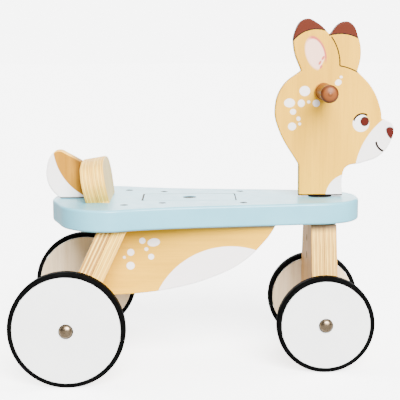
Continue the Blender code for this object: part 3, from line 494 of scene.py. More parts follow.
def ply_face(name, place, colours, upright_grain=True, marks=None):
    """Clear-lacquered plywood face: an even satin sheen over grain that can just be felt.

    marks adds printed paint over the veneer colour.
    """
    finish, tree, shader = new_finish(
        name, {"IOR": 1.5, "Specular IOR Level": 0.08, "Coat Weight": 0.03, "Coat Roughness": 0.35}
    )
    where = own_place(tree, place)
    tone, pored = veneer(tree, where, colours, upright_grain)
    if marks:
        tone = marks(tree, where, tone)
    matt = add_node(
        tree, "ShaderNodeTexNoise",
        {
            "Vector": add_node(
                tree, "ShaderNodeMapping", {"Vector": where, "Scale": scale_of(30.0, 30.0, 30.0)}
            ),
            "Scale": 1.0,
            "Detail": 2.0,
            "Roughness": FINER_SHARE,
        },
    )
    sheen = add_node(
        tree, "ShaderNodeMapRange",
        {"Value": matt, "From Min": 0.3, "From Max": 0.7, "To Min": 0.42, "To Max": 0.54},
    )
    closed = add_node(tree, "ShaderNodeMath", {0: 1.0, 1: pored}, operation="SUBTRACT")
    feed(
        tree, shader,
        {
            "Base Color": tone,
            "Roughness": sheen,
            "Normal": add_node(
                tree, "ShaderNodeBump", {"Height": closed, "Strength": 1.0, "Distance": 0.06 * MM}
            ),
        },
    )
    return finish


def ply_edge(name, place, thickness=BOARD, colours=PLY, marks=None):
    """Sanded plywood edge: long-grain plies pale and silky, end-grain plies browner and dull,
    with a dark thread of glue between them."""
    finish, tree, shader = new_finish(name, {"IOR": 1.5, "Specular IOR Level": 0.15})
    where = own_place(tree, place)
    parts = add_node(tree, "ShaderNodeSeparateXYZ", {"Vector": where})
    ply = thickness / PLY_COUNT * MM
    layer = add_node(
        tree, "ShaderNodeMath",
        {0: parts.outputs["Z"], 1: 1.0 / ply, 2: PLY_COUNT / 2.0 + LAYERS_BELOW},
        operation="MULTIPLY_ADD",
    )
    number = add_node(tree, "ShaderNodeMath", {0: layer}, operation="FLOOR")
    next_number = add_node(tree, "ShaderNodeMath", {0: number, 1: 1.0}, operation="ADD")
    end_grain = add_node(tree, "ShaderNodeMath", {0: next_number, 1: 2.0}, operation="MODULO")
    each = add_node(tree, "ShaderNodeTexWhiteNoise", {"W": number}, noise_dimensions="1D")
    wavy = add_node(
        tree, "ShaderNodeTexNoise",
        {
            "Vector": add_node(
                tree, "ShaderNodeMapping", {"Vector": where, "Scale": scale_of(34.0, 34.0, 1.1)}
            ),
            "Scale": 1.0,
            "Detail": 3.0,
            "Roughness": FINER_SHARE,
        },
    )
    # Fibres are 0.1 mm thick; they are drawn 0.8 mm thick so that they show
    fibre = add_node(
        tree, "ShaderNodeTexNoise",
        {
            "Vector": add_node(
                tree, "ShaderNodeMapping", {"Vector": where, "Scale": scale_of(16.0, 16.0, 0.8)}
            ),
            "Scale": 1.0,
            "Detail": 3.0,
            "Roughness": FINER_SHARE,
        },
    )
    long_grain, long_grain_warm, brown, brown_warm, shaded = [linear(colour) for colour in colours]
    pale_ply = add_node(
        tree, "ShaderNodeMix",
        {"Factor": each, "A": long_grain, "B": long_grain_warm},
        data_type="RGBA",
    )
    brown_ply = add_node(
        tree, "ShaderNodeMix", {"Factor": each, "A": brown, "B": brown_warm}, data_type="RGBA"
    )
    tone = add_node(
        tree, "ShaderNodeMix",
        {"Factor": end_grain, "A": pale_ply, "B": brown_ply},
        data_type="RGBA",
    )
    tone = add_node(
        tree, "ShaderNodeMix",
        {
            "Factor": add_node(
                tree, "ShaderNodeMapRange",
                {"Value": wavy, "From Min": 0.4, "From Max": 0.75, "To Min": 0.0, "To Max": 0.3},
            ),
            "A": tone,
            "B": shaded,
        },
        data_type="RGBA",
    )
    tone = add_node(
        tree, "ShaderNodeMix",
        {
            "Factor": add_node(
                tree, "ShaderNodeMapRange",
                {"Value": fibre, "From Min": 0.55, "From Max": 0.8, "To Min": 0.0, "To Max": 0.35},
            ),
            "A": tone,
            "B": shaded,
        },
        data_type="RGBA",
    )
    # The glue line is 0.1 mm thick and drawn 0.5 mm thick, broken where fibres cover it
    depth = add_node(tree, "ShaderNodeMath", {0: layer}, operation="FRACT")
    from_half = add_node(tree, "ShaderNodeMath", {0: depth, 1: 0.5}, operation="SUBTRACT")
    to_seam = add_node(tree, "ShaderNodeMath", {0: from_half}, operation="ABSOLUTE")
    glue = add_node(
        tree, "ShaderNodeMath",
        {
            0: add_node(
                tree, "ShaderNodeMapRange", {"Value": to_seam, "From Min": 0.37, "From Max": 0.46}
            ),
            1: add_node(
                tree, "ShaderNodeMapRange",
                {"Value": wavy, "From Min": 0.35, "From Max": 0.6, "To Min": 0.1, "To Max": 0.9},
            ),
        },
        operation="MULTIPLY",
    )
    tone = add_node(
        tree, "ShaderNodeMix", {"Factor": glue, "A": tone, "B": GLUE_BROWN}, data_type="RGBA"
    )
    if marks:
        tone = marks(tree, where, tone)
    sheen = add_node(
        tree, "ShaderNodeMapRange",
        {"Value": fibre, "From Min": 0.3, "From Max": 0.8, "To Min": 0.48, "To Max": 0.66},
    )
    raised = add_node(tree, "ShaderNodeMath", {0: 1.0, 1: glue}, operation="SUBTRACT")
    feed(
        tree, shader,
        {
            "Base Color": tone,
            "Roughness": sheen,
            "Normal": add_node(
                tree, "ShaderNodeBump", {"Height": raised, "Strength": 1.0, "Distance": 0.12 * MM}
            ),
        },
    )
    return finish


# Printed colours
PALE_PRINT = linear("EDE4DF")
MUZZLE_WHITE = linear("EFE9E6")
BELLY_WHITE = linear("F2EBE9")
INNER_EAR_WHITE = linear("F2C4AE")
EAR_PINK = linear("C0584C")
EAR_BROWN = linear("4F1F10")
OUTLINE = linear("170C09")
IRIS_RIM = linear("1A0A06")
IRIS_RED = linear("451006")
NOSE_RIM = linear("2E0C08")
NOSE_RED = linear("45100A")

# Printed shapes: (station, height, radius along X, radius along Y, turn in degrees)
HEAD_SPOTS = (
    (332.4, 391.8, 7.6, 7.2, 0.0), (310.7, 374.9, 7.8, 6.4, 0.0), (327.6, 374.3, 5.0, 5.4, 0.0),
    (315.9, 362.2, 4.4, 4.2, 0.0), (338.2, 376.2, 2.4, 2.2, 0.0), (349.1, 374.2, 5.2, 5.2, 0.0),
    (323.8, 352.1, 2.9, 3.3, 20.0), (325.6, 344.7, 2.1, 2.1, 0.0), (314.7, 341.1, 5.9, 5.6, 0.0),
    (380.2, 403.7, 4.9, 4.2, 30.0), (384.2, 411.5, 2.2, 2.0, 0.0),
)
MUZZLE = (513.8, 266.2, 108.4, 108.4, 0.0)
CHEST = (398.9, 237.7, 34.8, 34.8, 0.0)
REAR_EAR_TIP = (348.3, 437.5, 41.9, 41.9, 0.0)
FRONT_EAR_TIP = (382.4, 419.8, 53.0, 53.0, 0.0)
INNER_EAR = (347.0, 445.0, 13.6, 23.5, 18.0)
INNER_EAR_FRONT = (303.0, 456.6, 60.0, 60.0, 0.0)
INNER_EAR_RIM_ZONE = (357.0, 458.0, 17.0, 26.0, 30.0)
EAR_TUFTS = (
    (358.0, 438.6, 1.5, 3.4, -30.0), (353.6, 431.8, 1.5, 3.4, -30.0),
    (355.2, 426.0, 1.4, 3.0, -30.0),
)
EAR_LINES = (
    ((316.6, 429.8, 65.5, 65.5, 0.0), (377.5, 449.0, 12.0, 22.0, 12.0)),
    ((369.1, 349.3, 79.1, 79.1, 0.0), (395.0, 423.0, 13.6, 8.0, -18.0)),
)
EYE_WHITE = (413.9, 345.2, 12.0, 12.4, 0.0)
IRIS = (419.2, 347.8, 6.3, 6.9, 0.0)
LASH = (415.8, 346.0, 12.7, 12.7, 0.0)
LASH_ZONE = (411.5, 357.0, 12.0, 9.5, 25.0)
NOSE = (
    (456.0, 330.4, 7.8, 9.6, 10.0), (451.8, 331.4, 10.8, 12.4, 0.0),
    (470.4, 338.2, 20.6, 20.6, 0.0),
)
MOUTH = (452.4, 320.2, 16.3, 16.3, 0.0)
MOUTH_ZONE = (440.0, 310.3, 8.4, 9.2, 0.0)
BELLY_SPOTS = (
    (83.4, 169.1, 5.0, 5.0, 0.0), (82.9, 149.8, 5.8, 5.6, 0.0), (74.3, 161.9, 2.1, 2.1, 0.0),
    (99.9, 185.6, 4.4, 4.4, 0.0), (116.0, 183.2, 8.8, 5.8, 8.0), (105.5, 173.6, 2.8, 2.6, 0.0),
    (112.1, 162.6, 4.2, 4.2, 0.0),
)
BELLY = (224.3, 62.3, 114.6, 114.6, 0.0)
TAIL_ARC = (53.0, 314.9, 82.5, 82.5, 0.0)
EAR_ZONE_HEIGHT = 455.0
EAR_GAP_STATION = 366.0

# Widths of the printed lines, and of the dark rim of the iris and the nose
EAR_TIP_LINE = 1.5
EAR_RIM_LINE = 2.6
EAR_LINE = 1.8
LASH_LINE = 2.8
MOUTH_LINE = 3.2
DARK_RIM = 1.3

# Painted shade on the wood: how far below the seat, round a screw or off the backrest it reaches
SEAT_SHADE_GREY = linear("988468")
SEAT_SHADE_BROWN = linear("6C5640")
REAR_LEG_SHADE_REACH = 3.0
FRONT_LEG_SHADE_REACH = 14.0
BELLY_SHADE_REACH = 6.5
SCREW_SHADE_RADIUS = 5.4
# the colour of the tail's painted shade, and how far off the backrest it begins and is full
TAIL_SHADE_BROWN = linear("4A2C0C")
TAIL_SHADE_REACH = (16.0, 5.0)


# Lacquer, rubber, metal and nylon

LACQUER_GLOSS = 0.5
LACQUER_COAT = 0.25
LACQUER_BLUE = ("6CB4C6", "62AABD")
LACQUER_WHITE = ("F3F3F1", "ECECEA")
# the colour of the strip painted as shade in the lid's gap
GAP_SHADE_BROWN = linear("2A241E")


def lacquer(name, colours, gap_shade=None):
    """Satin water-based lacquer, sprayed on sanded board: an even skin with a faint orange
    peel, a soft wide highlight and a little more colour where it lies thick.

    The third argument says where a dark strip without gloss is painted on, as shade in a gap.
    """
    finish, tree, shader = new_finish(
        name,
        {
            "IOR": 1.5,
            "Specular IOR Level": LACQUER_GLOSS,
            "Coat Weight": LACQUER_COAT,
            "Coat Roughness": 0.25,
        },
    )
    where = own_place(tree, Matrix.Identity(4))
    pale, deep = [linear(colour) for colour in colours]
    cloud = add_node(
        tree, "ShaderNodeTexNoise",
        {
            "Vector": add_node(
                tree, "ShaderNodeMapping", {"Vector": where, "Scale": scale_of(55.0, 55.0, 55.0)}
            ),
            "Scale": 1.0,
            "Detail": 3.0,
            "Roughness": FINER_SHARE,
        },
    )
    tone = add_node(
        tree, "ShaderNodeMix",
        {
            "Factor": add_node(
                tree, "ShaderNodeMapRange", {"Value": cloud, "From Min": 0.3, "From Max": 0.7}
            ),
            "A": pale,
            "B": deep,
        },
        data_type="RGBA",
    )
    # A strip painted dark and without gloss, as shade in the gap round the lid
    if gap_shade:
        bare_wood_and_gap_shade = gap_shade(tree, where)
        gloss = add_node(
            tree, "ShaderNodeMapRange",
            {
                "Value": bare_wood_and_gap_shade,
                "From Min": 0.0,
                "From Max": 1.0,
                "To Min": LACQUER_GLOSS,
                "To Max": 0.05,
            },
        )
        coat = add_node(
            tree, "ShaderNodeMapRange",
            {
                "Value": bare_wood_and_gap_shade,
                "From Min": 0.0,
                "From Max": 1.0,
                "To Min": LACQUER_COAT,
                "To Max": 0.0,
            },
        )
        tone = add_node(
            tree, "ShaderNodeMix", {"Factor": bare_wood_and_gap_shade, "A": tone, "B": GAP_SHADE_BROWN}, data_type="RGBA"
        )
        feed(tree, shader, {"Specular IOR Level": gloss, "Coat Weight": coat})
    # The orange peel is 1.6 mm from crest to crest, and the sheen drifts over 18 mm
    peel = add_node(
        tree, "ShaderNodeTexNoise",
        {
            "Vector": add_node(
                tree, "ShaderNodeMapping", {"Vector": where, "Scale": scale_of(1.6, 1.6, 1.6)}
            ),
            "Scale": 1.0,
            "Detail": 2.0,
            "Roughness": FINER_SHARE,
        },
    )
    nap = add_node(
        tree, "ShaderNodeTexNoise",
        {
            "Vector": add_node(
                tree, "ShaderNodeMapping", {"Vector": where, "Scale": scale_of(18.0, 18.0, 18.0)}
            ),
            "Scale": 1.0,
            "Detail": 2.0,
            "Roughness": FINER_SHARE,
        },
    )
    sheen = add_node(
        tree, "ShaderNodeMapRange",
        {"Value": nap, "From Min": 0.3, "From Max": 0.7, "To Min": 0.36, "To Max": 0.46},
    )
    feed(
        tree, shader,
        {
            "Base Color": tone,
            "Roughness": sheen,
            "Normal": add_node(
                tree, "ShaderNodeBump", {"Height": peel, "Strength": 1.0, "Distance": 0.03 * MM}
            ),
        },
    )
    return finish


def pocket_gap_shade(tree, where):
    """Where a dark strip round the lid's pocket is painted, as shade in its gap."""
    parts = add_node(tree, "ShaderNodeSeparateXYZ", {"Vector": where})
    middle_x = REAR_AXLE.x + (LID_MIDDLE + (GAP_SHADE_FRONT - GAP_SHADE_REAR) / 2.0) * MM
    past_middle = add_node(
        tree, "ShaderNodeMath", {0: parts.outputs["X"], 1: middle_x}, operation="SUBTRACT"
    )
    along = add_node(tree, "ShaderNodeMath", {0: past_middle}, operation="ABSOLUTE")
    across = add_node(tree, "ShaderNodeMath", {0: parts.outputs["Y"]}, operation="ABSOLUTE")
    # The painted shade lies only on the seat's top, so the share falls away below the lid's
    # thickness
    low, high = (SEAT_TOP - 1.5 * LID_THICKNESS) * MM, (SEAT_TOP - LID_THICKNESS) * MM
    gap_shade = add_node(
        tree, "ShaderNodeMapRange", {"Value": parts.outputs["Z"], "From Min": low, "From Max": high}
    )
    length = LID_LENGTH + GAP_SHADE_FRONT + GAP_SHADE_REAR
    width = LID_WIDTH + 2.0 * GAP_SHADE_SIDE
    for away, size in ((along, length), (across, width)):
        inner, outer = (size / 2.0 - GAP_SHADE_SOFT) * MM, (size / 2.0 + GAP_SHADE_SOFT) * MM
        gap_shade = add_node(
            tree, "ShaderNodeMath",
            {
                0: gap_shade,
                1: add_node(
                    tree, "ShaderNodeMapRange",
                    {
                        "Value": away,
                        "From Min": inner,
                        "From Max": outer,
                        "To Min": 1.0,
                        "To Max": 0.0,
                    },
                ),
            },
            operation="MULTIPLY",
        )
    return gap_shade


BLUE_PAINT = lacquer("satin_blue_lacquer", LACQUER_BLUE)
# The seat's lacquer has a dark strip painted round the lid's pocket, as shade in its gap
SEAT_PAINT = lacquer("satin_blue_lacquer_gap_shade", LACQUER_BLUE, pocket_gap_shade)
WHITE_PAINT = lacquer("satin_white_lacquer", LACQUER_WHITE)


def turned_beech():
    """Turned and oiled beech: warm brown with short dark flecks along the grain, darker where
    oil gathers on the shaft and in the domed end grain, darker round the nub, with painted
    shade in the groove and round the dome's rim, and a low polish."""
    finish, tree, shader = new_finish(
        "oiled_beech", {"IOR": 1.5, "Coat Weight": 0.02, "Coat Roughness": 0.2}
    )
    where = own_place(tree, Matrix.Identity(4))
    bands = add_node(
        tree, "ShaderNodeTexNoise",
        {
            "Vector": add_node(
                tree, "ShaderNodeMapping", {"Vector": where, "Scale": scale_of(6.0, 120.0, 6.0)}
            ),
            "Scale": 1.0,
            "Detail": 3.0,
            "Roughness": FINER_SHARE,
        },
    )
    # Beech flecks are 0.3 mm wide; they are drawn 0.9 mm wide so that they show
    flecks = add_node(
        tree, "ShaderNodeTexNoise",
        {
            "Vector": add_node(
                tree, "ShaderNodeMapping", {"Vector": where, "Scale": scale_of(0.9, 5.0, 0.9)}
            ),
            "Scale": 1.0,
            "Detail": 1.0,
            "Roughness": FINER_SHARE,
        },
    )
    tone = add_node(
        tree, "ShaderNodeMix",
        {
            "Factor": add_node(
                tree, "ShaderNodeMapRange", {"Value": bands, "From Min": 0.35, "From Max": 0.7}
            ),
            "A": linear("A2682E"),
            "B": linear("885420"),
        },
        data_type="RGBA",
    )
    # How far a point is out from the middle plane, and from the grip's own axis
    parts = add_node(tree, "ShaderNodeSeparateXYZ", {"Vector": where})
    out = add_node(tree, "ShaderNodeMath", {0: parts.outputs["Y"]}, operation="ABSOLUTE")
    axis_x = REAR_AXLE.x + (WHEELBASE + HANDLE_FORWARD) * MM
    axis_z = (SEAT_TOP + STEER_GAP + HANDLE_HEIGHT) * MM
    forward = add_node(
        tree, "ShaderNodeMath", {0: parts.outputs["X"], 1: axis_x}, operation="SUBTRACT"
    )
    up = add_node(tree, "ShaderNodeMath", {0: parts.outputs["Z"], 1: axis_z}, operation="SUBTRACT")
    forward_squared = add_node(tree, "ShaderNodeMath", {0: forward, 1: 2.0}, operation="POWER")
    up_squared = add_node(tree, "ShaderNodeMath", {0: up, 1: 2.0}, operation="POWER")
    reach_squared = add_node(
        tree, "ShaderNodeMath", {0: forward_squared, 1: up_squared}, operation="ADD"
    )
    reach = add_node(tree, "ShaderNodeMath", {0: reach_squared}, operation="SQRT")
    oiled_shaft = add_node(
        tree, "ShaderNodeMath",
        {0: between(tree, out, SHAFT_STARTS, SHAFT_ENDS), 1: 0.7},
        operation="MULTIPLY",
    )
    # The domed end shows end grain, which soaks up more oil and turns browner
    dome = add_node(
        tree, "ShaderNodeMapRange",
        {"Value": out, "From Min": DOME_STARTS[0] * MM, "From Max": DOME_STARTS[1] * MM},
    )
    past_shaft = add_node(
        tree, "ShaderNodeMapRange",
        {"Value": out, "From Min": RIM_STARTS[0] * MM, "From Max": RIM_STARTS[1] * MM},
    )
    # The dome's outer rim is painted dark, as shade where it turns away
    near_rim = add_node(
        tree, "ShaderNodeMapRange",
        {"Value": reach, "From Min": RIM_REACH[0] * MM, "From Max": RIM_REACH[1] * MM},
    )
    rim = add_node(tree, "ShaderNodeMath", {0: near_rim, 1: past_shaft}, operation="MULTIPLY")
    painted_rim_shade = add_node(tree, "ShaderNodeMath", {0: rim, 1: 0.85}, operation="MULTIPLY")
    nub_ring = add_node(
        tree, "ShaderNodeMath",
        {0: between(tree, reach, NUB_STARTS, NUB_ENDS), 1: 0.6},
        operation="MULTIPLY",
    )
    # The groove is painted dark, as shade in it
    groove = between(tree, out, GROOVE_STARTS, GROOVE_ENDS)
    flecked = add_node(
        tree, "ShaderNodeMapRange",
        {"Value": flecks, "From Min": 0.6, "From Max": 0.75, "To Min": 0.0, "To Max": 0.4},
    )
    for share, colour in (
        (oiled_shaft, "6B3810"), (dome, "76411B"), (painted_rim_shade, "4A2209"),
        (nub_ring, "4A260E"), (groove, "2A1407"), (flecked, "5A2E10"),
    ):
        tone = add_node(
            tree, "ShaderNodeMix",
            {"Factor": share, "A": tone, "B": linear(colour)},
            data_type="RGBA",
        )
    # The shaft is left dull, so that it grips
    gloss = add_node(
        tree, "ShaderNodeMapRange",
        {
            "Value": out,
            "From Min": SHAFT_ENDS[0] * MM,
            "From Max": SHAFT_ENDS[1] * MM,
            "To Min": 0.02,
            "To Max": 0.2,
        },
    )
    sheen = add_node(
        tree, "ShaderNodeMapRange",
        {"Value": bands, "From Min": 0.3, "From Max": 0.7, "To Min": 0.36, "To Max": 0.48},
    )
    feed(
        tree, shader,
        {
            "Base Color": tone,
            "Roughness": sheen,
            "Specular IOR Level": gloss,
            "Normal": add_node(
                tree, "ShaderNodeBump", {"Height": flecks, "Strength": 1.0, "Distance": 0.03 * MM}
            ),
        },
    )
    return finish


def tyre_rubber():
    """Moulded black rubber: deep matt black, greyer where the mould's grain scatters light."""
    finish, tree, shader = new_finish("moulded_rubber", {"IOR": 1.52, "Specular IOR Level": 0.01})
    where = own_place(tree, Matrix.Identity(4))
    # The mould's grain is 0.2 mm fine; it is drawn at 0.8 mm so that it shows
    grain = add_node(
        tree, "ShaderNodeTexNoise",
        {
            "Vector": add_node(
                tree, "ShaderNodeMapping", {"Vector": where, "Scale": scale_of(0.8, 0.8, 0.8)}
            ),
            "Scale": 1.0,
            "Detail": 2.0,
            "Roughness": FINER_SHARE,
        },
    )
    dust = add_node(
        tree, "ShaderNodeTexNoise",
        {
            "Vector": add_node(
                tree, "ShaderNodeMapping", {"Vector": where, "Scale": scale_of(14.0, 14.0, 14.0)}
            ),
            "Scale": 1.0,
            "Detail": 3.0,
            "Roughness": FINER_SHARE,
        },
    )
    tone = add_node(
        tree, "ShaderNodeMix",
        {
            "Factor": add_node(
                tree, "ShaderNodeMapRange", {"Value": dust, "From Min": 0.35, "From Max": 0.75}
            ),
            "A": linear("040404"),
            "B": linear("080808"),
        },
        data_type="RGBA",
    )
    sheen = add_node(
        tree, "ShaderNodeMapRange",
        {"Value": grain, "From Min": 0.3, "From Max": 0.7, "To Min": 0.55, "To Max": 0.72},
    )
    feed(
        tree, shader,
        {
            "Base Color": tone,
            "Roughness": sheen,
            "Normal": add_node(
                tree, "ShaderNodeBump", {"Height": grain, "Strength": 1.0, "Distance": 0.05 * MM}
            ),
        },
    )
    return finish


def clouded(name, constants, lengths, detail, colours, sheen, relief=0.0, first=0.3):
    """A finish whose colour and sheen drift together, in clouds of so many millimetres.

    first is the share of cloud at which the second colour begins to show.
    """
    finish, tree, shader = new_finish(name, constants)
    where = own_place(tree, Matrix.Identity(4))
    pale, deep = [linear(colour) for colour in colours]
    cloud = add_node(
        tree, "ShaderNodeTexNoise",
        {
            "Vector": add_node(
                tree, "ShaderNodeMapping", {"Vector": where, "Scale": scale_of(*lengths)}
            ),
            "Scale": 1.0,
            "Detail": detail,
            "Roughness": FINER_SHARE,
        },
    )
    tone = add_node(
        tree, "ShaderNodeMix",
        {
            "Factor": add_node(
                tree, "ShaderNodeMapRange", {"Value": cloud, "From Min": first, "From Max": 0.7}
            ),
            "A": pale,
            "B": deep,
        },
        data_type="RGBA",
    )
    dullness = add_node(
        tree, "ShaderNodeMapRange",
        {"Value": cloud, "From Min": 0.3, "From Max": 0.7, "To Min": sheen[0], "To Max": sheen[1]},
    )
    feed(tree, shader, {"Base Color": tone, "Roughness": dullness})
    if relief > 0.0:
        feed(
            tree, shader,
            {
                "Normal": add_node(
                    tree, "ShaderNodeBump",
                    {"Height": cloud, "Strength": 1.0, "Distance": relief * MM},
                ),
            },
        )
    return finish


BEECH = turned_beech()
RUBBER = tyre_rubber()
# Zinc-plated steel: a bright grey metal skin, cloudy where the plating dulls
BRIGHT_STEEL = clouded(
    "zinc_plated_steel", {"Metallic": 1.0}, (4.0, 4.0, 4.0), 4.0,
    ("C9C8C4", "A9A8A4"), (0.2, 0.34), 0.01,
)
# Nickel-plated steel: a warm brownish metal skin with a sharp highlight
NICKEL = clouded(
    "warm_nickel_plate", {"Metallic": 1.0}, (4.0, 4.0, 4.0), 4.0,
    ("8C7A62", "6A5A46"), (0.2, 0.34), 0.01,
)
# The same plating on the cap's lip: darker and with a blurred highlight
DULL_NICKEL = clouded(
    "darker_nickel_plate", {"Metallic": 1.0}, (4.0, 4.0, 4.0), 4.0,
    ("4A4036", "322B25"), (0.4, 0.55), 0.01,
)
# Steel under black oxide: scale rather than metal meets the eye, a little browner where thin
DARK_STEEL = clouded(
    "black_oxide_on_steel", {"IOR": 1.5, "Specular IOR Level": 0.05}, (3.0, 3.0, 3.0), 3.0,
    ("161718", "221E1B"), (0.4, 0.55), 0.01,
)
# Moulded nylon: waxy, as light passes a little way in. White, it is faintly yellow
NYLON = clouded(
    "moulded_white_nylon",
    {"IOR": 1.53, "Subsurface Weight": 0.1, "Subsurface Scale": 0.002, "Specular IOR Level": 0.5},
    (5.0, 5.0, 5.0), 2.0, ("EDECE6", "E2E0D8"), (0.36, 0.5),
)
# Black, it is dull, and the pigment stops nearly all of that light. It goes on the upper bush's top,
# under the neck, as painted shade of the gap there
SHADE_BLACK_NYLON = clouded(
    "black_nylon_painted_shade",
    {"IOR": 1.53, "Subsurface Weight": 0.1, "Subsurface Scale": 0.002, "Specular IOR Level": 0.1},
    (5.0, 5.0, 5.0), 2.0, ("0E0E0F", "161617"), (0.36, 0.5),
)
# Board core without paint, on the pocket's and the lid's walls: grey-brown, dull and open
# grained, and darker than bare board as painted shade in these gaps. Its fibres are 0.1 mm thick;
# they are drawn 0.8 mm thick so that they show
BARE_CORE_SHADED = clouded(
    "bare_board_core_shaded", {"IOR": 1.5, "Specular IOR Level": 0.1}, (9.0, 9.0, 0.8), 3.0,
    ("4A4238", "322C25"), (0.6, 0.8), 0.08, first=0.35,
)


# Modelling

def alone(piece):
    """Selects one piece and nothing else."""
    bpy.ops.object.select_all(action="DESELECT")
    piece.select_set(True)
    bpy.context.view_layer.objects.active = piece


def edit(piece, kind="EDGE"):
    """Puts one piece in edit mode with nothing in it selected."""
    alone(piece)
    bpy.ops.object.mode_set(mode="EDIT")
    bpy.ops.mesh.select_mode(type=kind)
    bpy.ops.mesh.select_all(action="DESELECT")


def leave_edit():
    """Back to object mode."""
    bpy.ops.object.mode_set(mode="OBJECT")


def named(name):
    """Names the piece just added, and its mesh."""
    piece = bpy.context.object
    piece.name = name
    piece.data.name = name
    return piece


def lay(piece, place):
    """Moves a piece's mesh to its place and leaves its object at the origin, unturned."""
    alone(piece)
    piece.matrix_world = place
    bpy.ops.object.transform_apply(location=True, rotation=True, scale=True)
    return piece


def lay_copy(piece, name, place):
    """A copy with its own mesh, laid at its place."""
    alone(piece)
    bpy.ops.object.duplicate(linked=False)
    return lay(named(name), place)


def round_edges(piece, radius, steps, wanted):
    """Rounds the true corners whose two ends the test wants, in metres of the piece's mesh."""
    edit(piece)
    shape = bmesh.from_edit_mesh(piece.data)
    for edge in shape.edges:
        sharp = edge.calc_face_angle(0.0) > CORNER_ANGLE
        if sharp and all(wanted(vertex.co) for vertex in edge.verts):
            edge.select_set(True)
    bmesh.update_edit_mesh(piece.data)
    bpy.ops.mesh.bevel(offset=radius * MM, segments=steps, affect="EDGES", clamp_overlap=False)
    leave_edit()


def at_level(level):
    """A test for points at one height of the piece's own Z, in millimetres."""
    return lambda point: abs(point.z - level * MM) < WELD * MM


def at_side(offset):
    """A test for points at one distance to the left, in millimetres."""
    return lambda point: abs(point.y - offset * MM) < WELD * MM


def saw_board(name, outline, thickness, rounding=0.0, rims=(1, -1), steps=CURVE_STEPS):
    """A board sawn to an outline of (x, y, smooth or corner), with its rims sanded round."""
    bpy.ops.object.select_all(action="DESELECT")
    bpy.ops.curve.primitive_bezier_circle_add()
    line = bpy.context.object.data
    line.resolution_u = steps
    spline = line.splines[0]
    spline.bezier_points.add(len(outline) - len(spline.bezier_points))
    for point, (x, y, _) in zip(spline.bezier_points, outline):
        point.co = (x * MM, y * MM, 0.0)
    for point, (_, _, kind) in zip(spline.bezier_points, outline):
        handle = "AUTO" if kind == "smooth" else "VECTOR"
        point.handle_left_type = handle
        point.handle_right_type = handle
    bpy.ops.object.convert(target="MESH")
    board = named(name)
    edit(board)
    bpy.ops.mesh.select_all(action="SELECT")
    bpy.ops.mesh.remove_doubles(threshold=WELD * MM)
    bpy.ops.mesh.edge_face_add()
    bpy.ops.mesh.extrude_region_move(TRANSFORM_OT_translate={"value": (0.0, 0.0, thickness * MM)})
    bpy.ops.mesh.select_all(action="SELECT")
    bpy.ops.transform.translate(value=(0.0, 0.0, -thickness / 2.0 * MM))
    bpy.ops.mesh.normals_make_consistent(inside=False)
    bpy.ops.mesh.dissolve_limited(angle_limit=FLAT_ANGLE)
    leave_edit()
    if rounding > 0.0:
        for rim in rims:
            round_edges(board, rounding, RIM_STEPS, at_level(rim * thickness / 2.0))
    return board


def turn_piece(name, profile, sides=SMALL_SIDES):
    """A piece turned on a lathe: a closed ring of (radius, height) points spun about Z."""
    bpy.ops.object.select_all(action="DESELECT")
    bpy.ops.mesh.primitive_circle_add(vertices=len(profile), fill_type="NOTHING")
    piece = named(name)
    for vertex, (radius, height) in zip(piece.data.vertices, profile):
        vertex.co = (radius * MM, 0.0, height * MM)
    edit(piece, "VERT")
    bpy.ops.mesh.select_all(action="SELECT")
    bpy.ops.mesh.spin(steps=sides, angle=math.tau, center=(0.0, 0.0, 0.0), axis=(0.0, 0.0, 1.0))
    bpy.ops.mesh.select_all(action="SELECT")
    bpy.ops.mesh.remove_doubles(threshold=WELD * MM)
    bpy.ops.mesh.delete_loose()
    bpy.ops.mesh.select_all(action="SELECT")
    bpy.ops.mesh.normals_make_consistent(inside=False)
    leave_edit()
    return piece


def block(name, size, centre, corner=0.0):
    """A squared block with its upright corners rounded."""
    bpy.ops.object.select_all(action="DESELECT")
    bpy.ops.mesh.primitive_cube_add(size=1.0)
    piece = named(name)
    lay(piece, Matrix.Diagonal((*[side * MM for side in size], 1.0)))
    if corner > 0.0:
        edit(piece)
        shape = bmesh.from_edit_mesh(piece.data)
        for edge in shape.edges:
            first, second = (vertex.co for vertex in edge.verts)
            edge.select_set(abs(first.z - second.z) > size[2] / 2.0 * MM)
        bmesh.update_edit_mesh(piece.data)
        bpy.ops.mesh.bevel(offset=corner * MM, segments=CORNER_STEPS, affect="EDGES")
        leave_edit()
    return lay(piece, Matrix.Translation([place * MM for place in centre]))


def rod(name, radius, length, place, sides=SMALL_SIDES):
    """A plain rod that runs from its place along its own Z: a cutter for a bore."""
    bpy.ops.object.select_all(action="DESELECT")
    bpy.ops.mesh.primitive_cylinder_add(
        vertices=sides, radius=radius * MM, depth=length * MM, location=(0.0, 0.0, length / 2.0 * MM)
    )
    piece = named(name)
    bpy.ops.object.transform_apply(location=True, rotation=True, scale=True)
    return lay(piece, place)


def cut(piece, *cutters):
    """Cuts a piece with each cutter and throws the cutters away."""
    for cutter in cutters:
        alone(piece)
        boolean = piece.modifiers.new("cut", "BOOLEAN")
        boolean.operation = "DIFFERENCE"
        boolean.solver = "EXACT"
        boolean.object = cutter
        bpy.ops.object.modifier_apply(modifier=boolean.name)
        bpy.data.objects.remove(cutter, do_unlink=True)
    return piece


def trim(piece, level, keep):
    """Saws a piece level: keep is 1 for what lies above and -1 for what lies below."""
    edit(piece)
    bpy.ops.mesh.select_all(action="SELECT")
    bpy.ops.mesh.bisect(
        plane_co=(0.0, 0.0, level * MM), plane_no=(0.0, 0.0, -keep),
        use_fill=True, clear_outer=True,
    )
    leave_edit()
    return piece


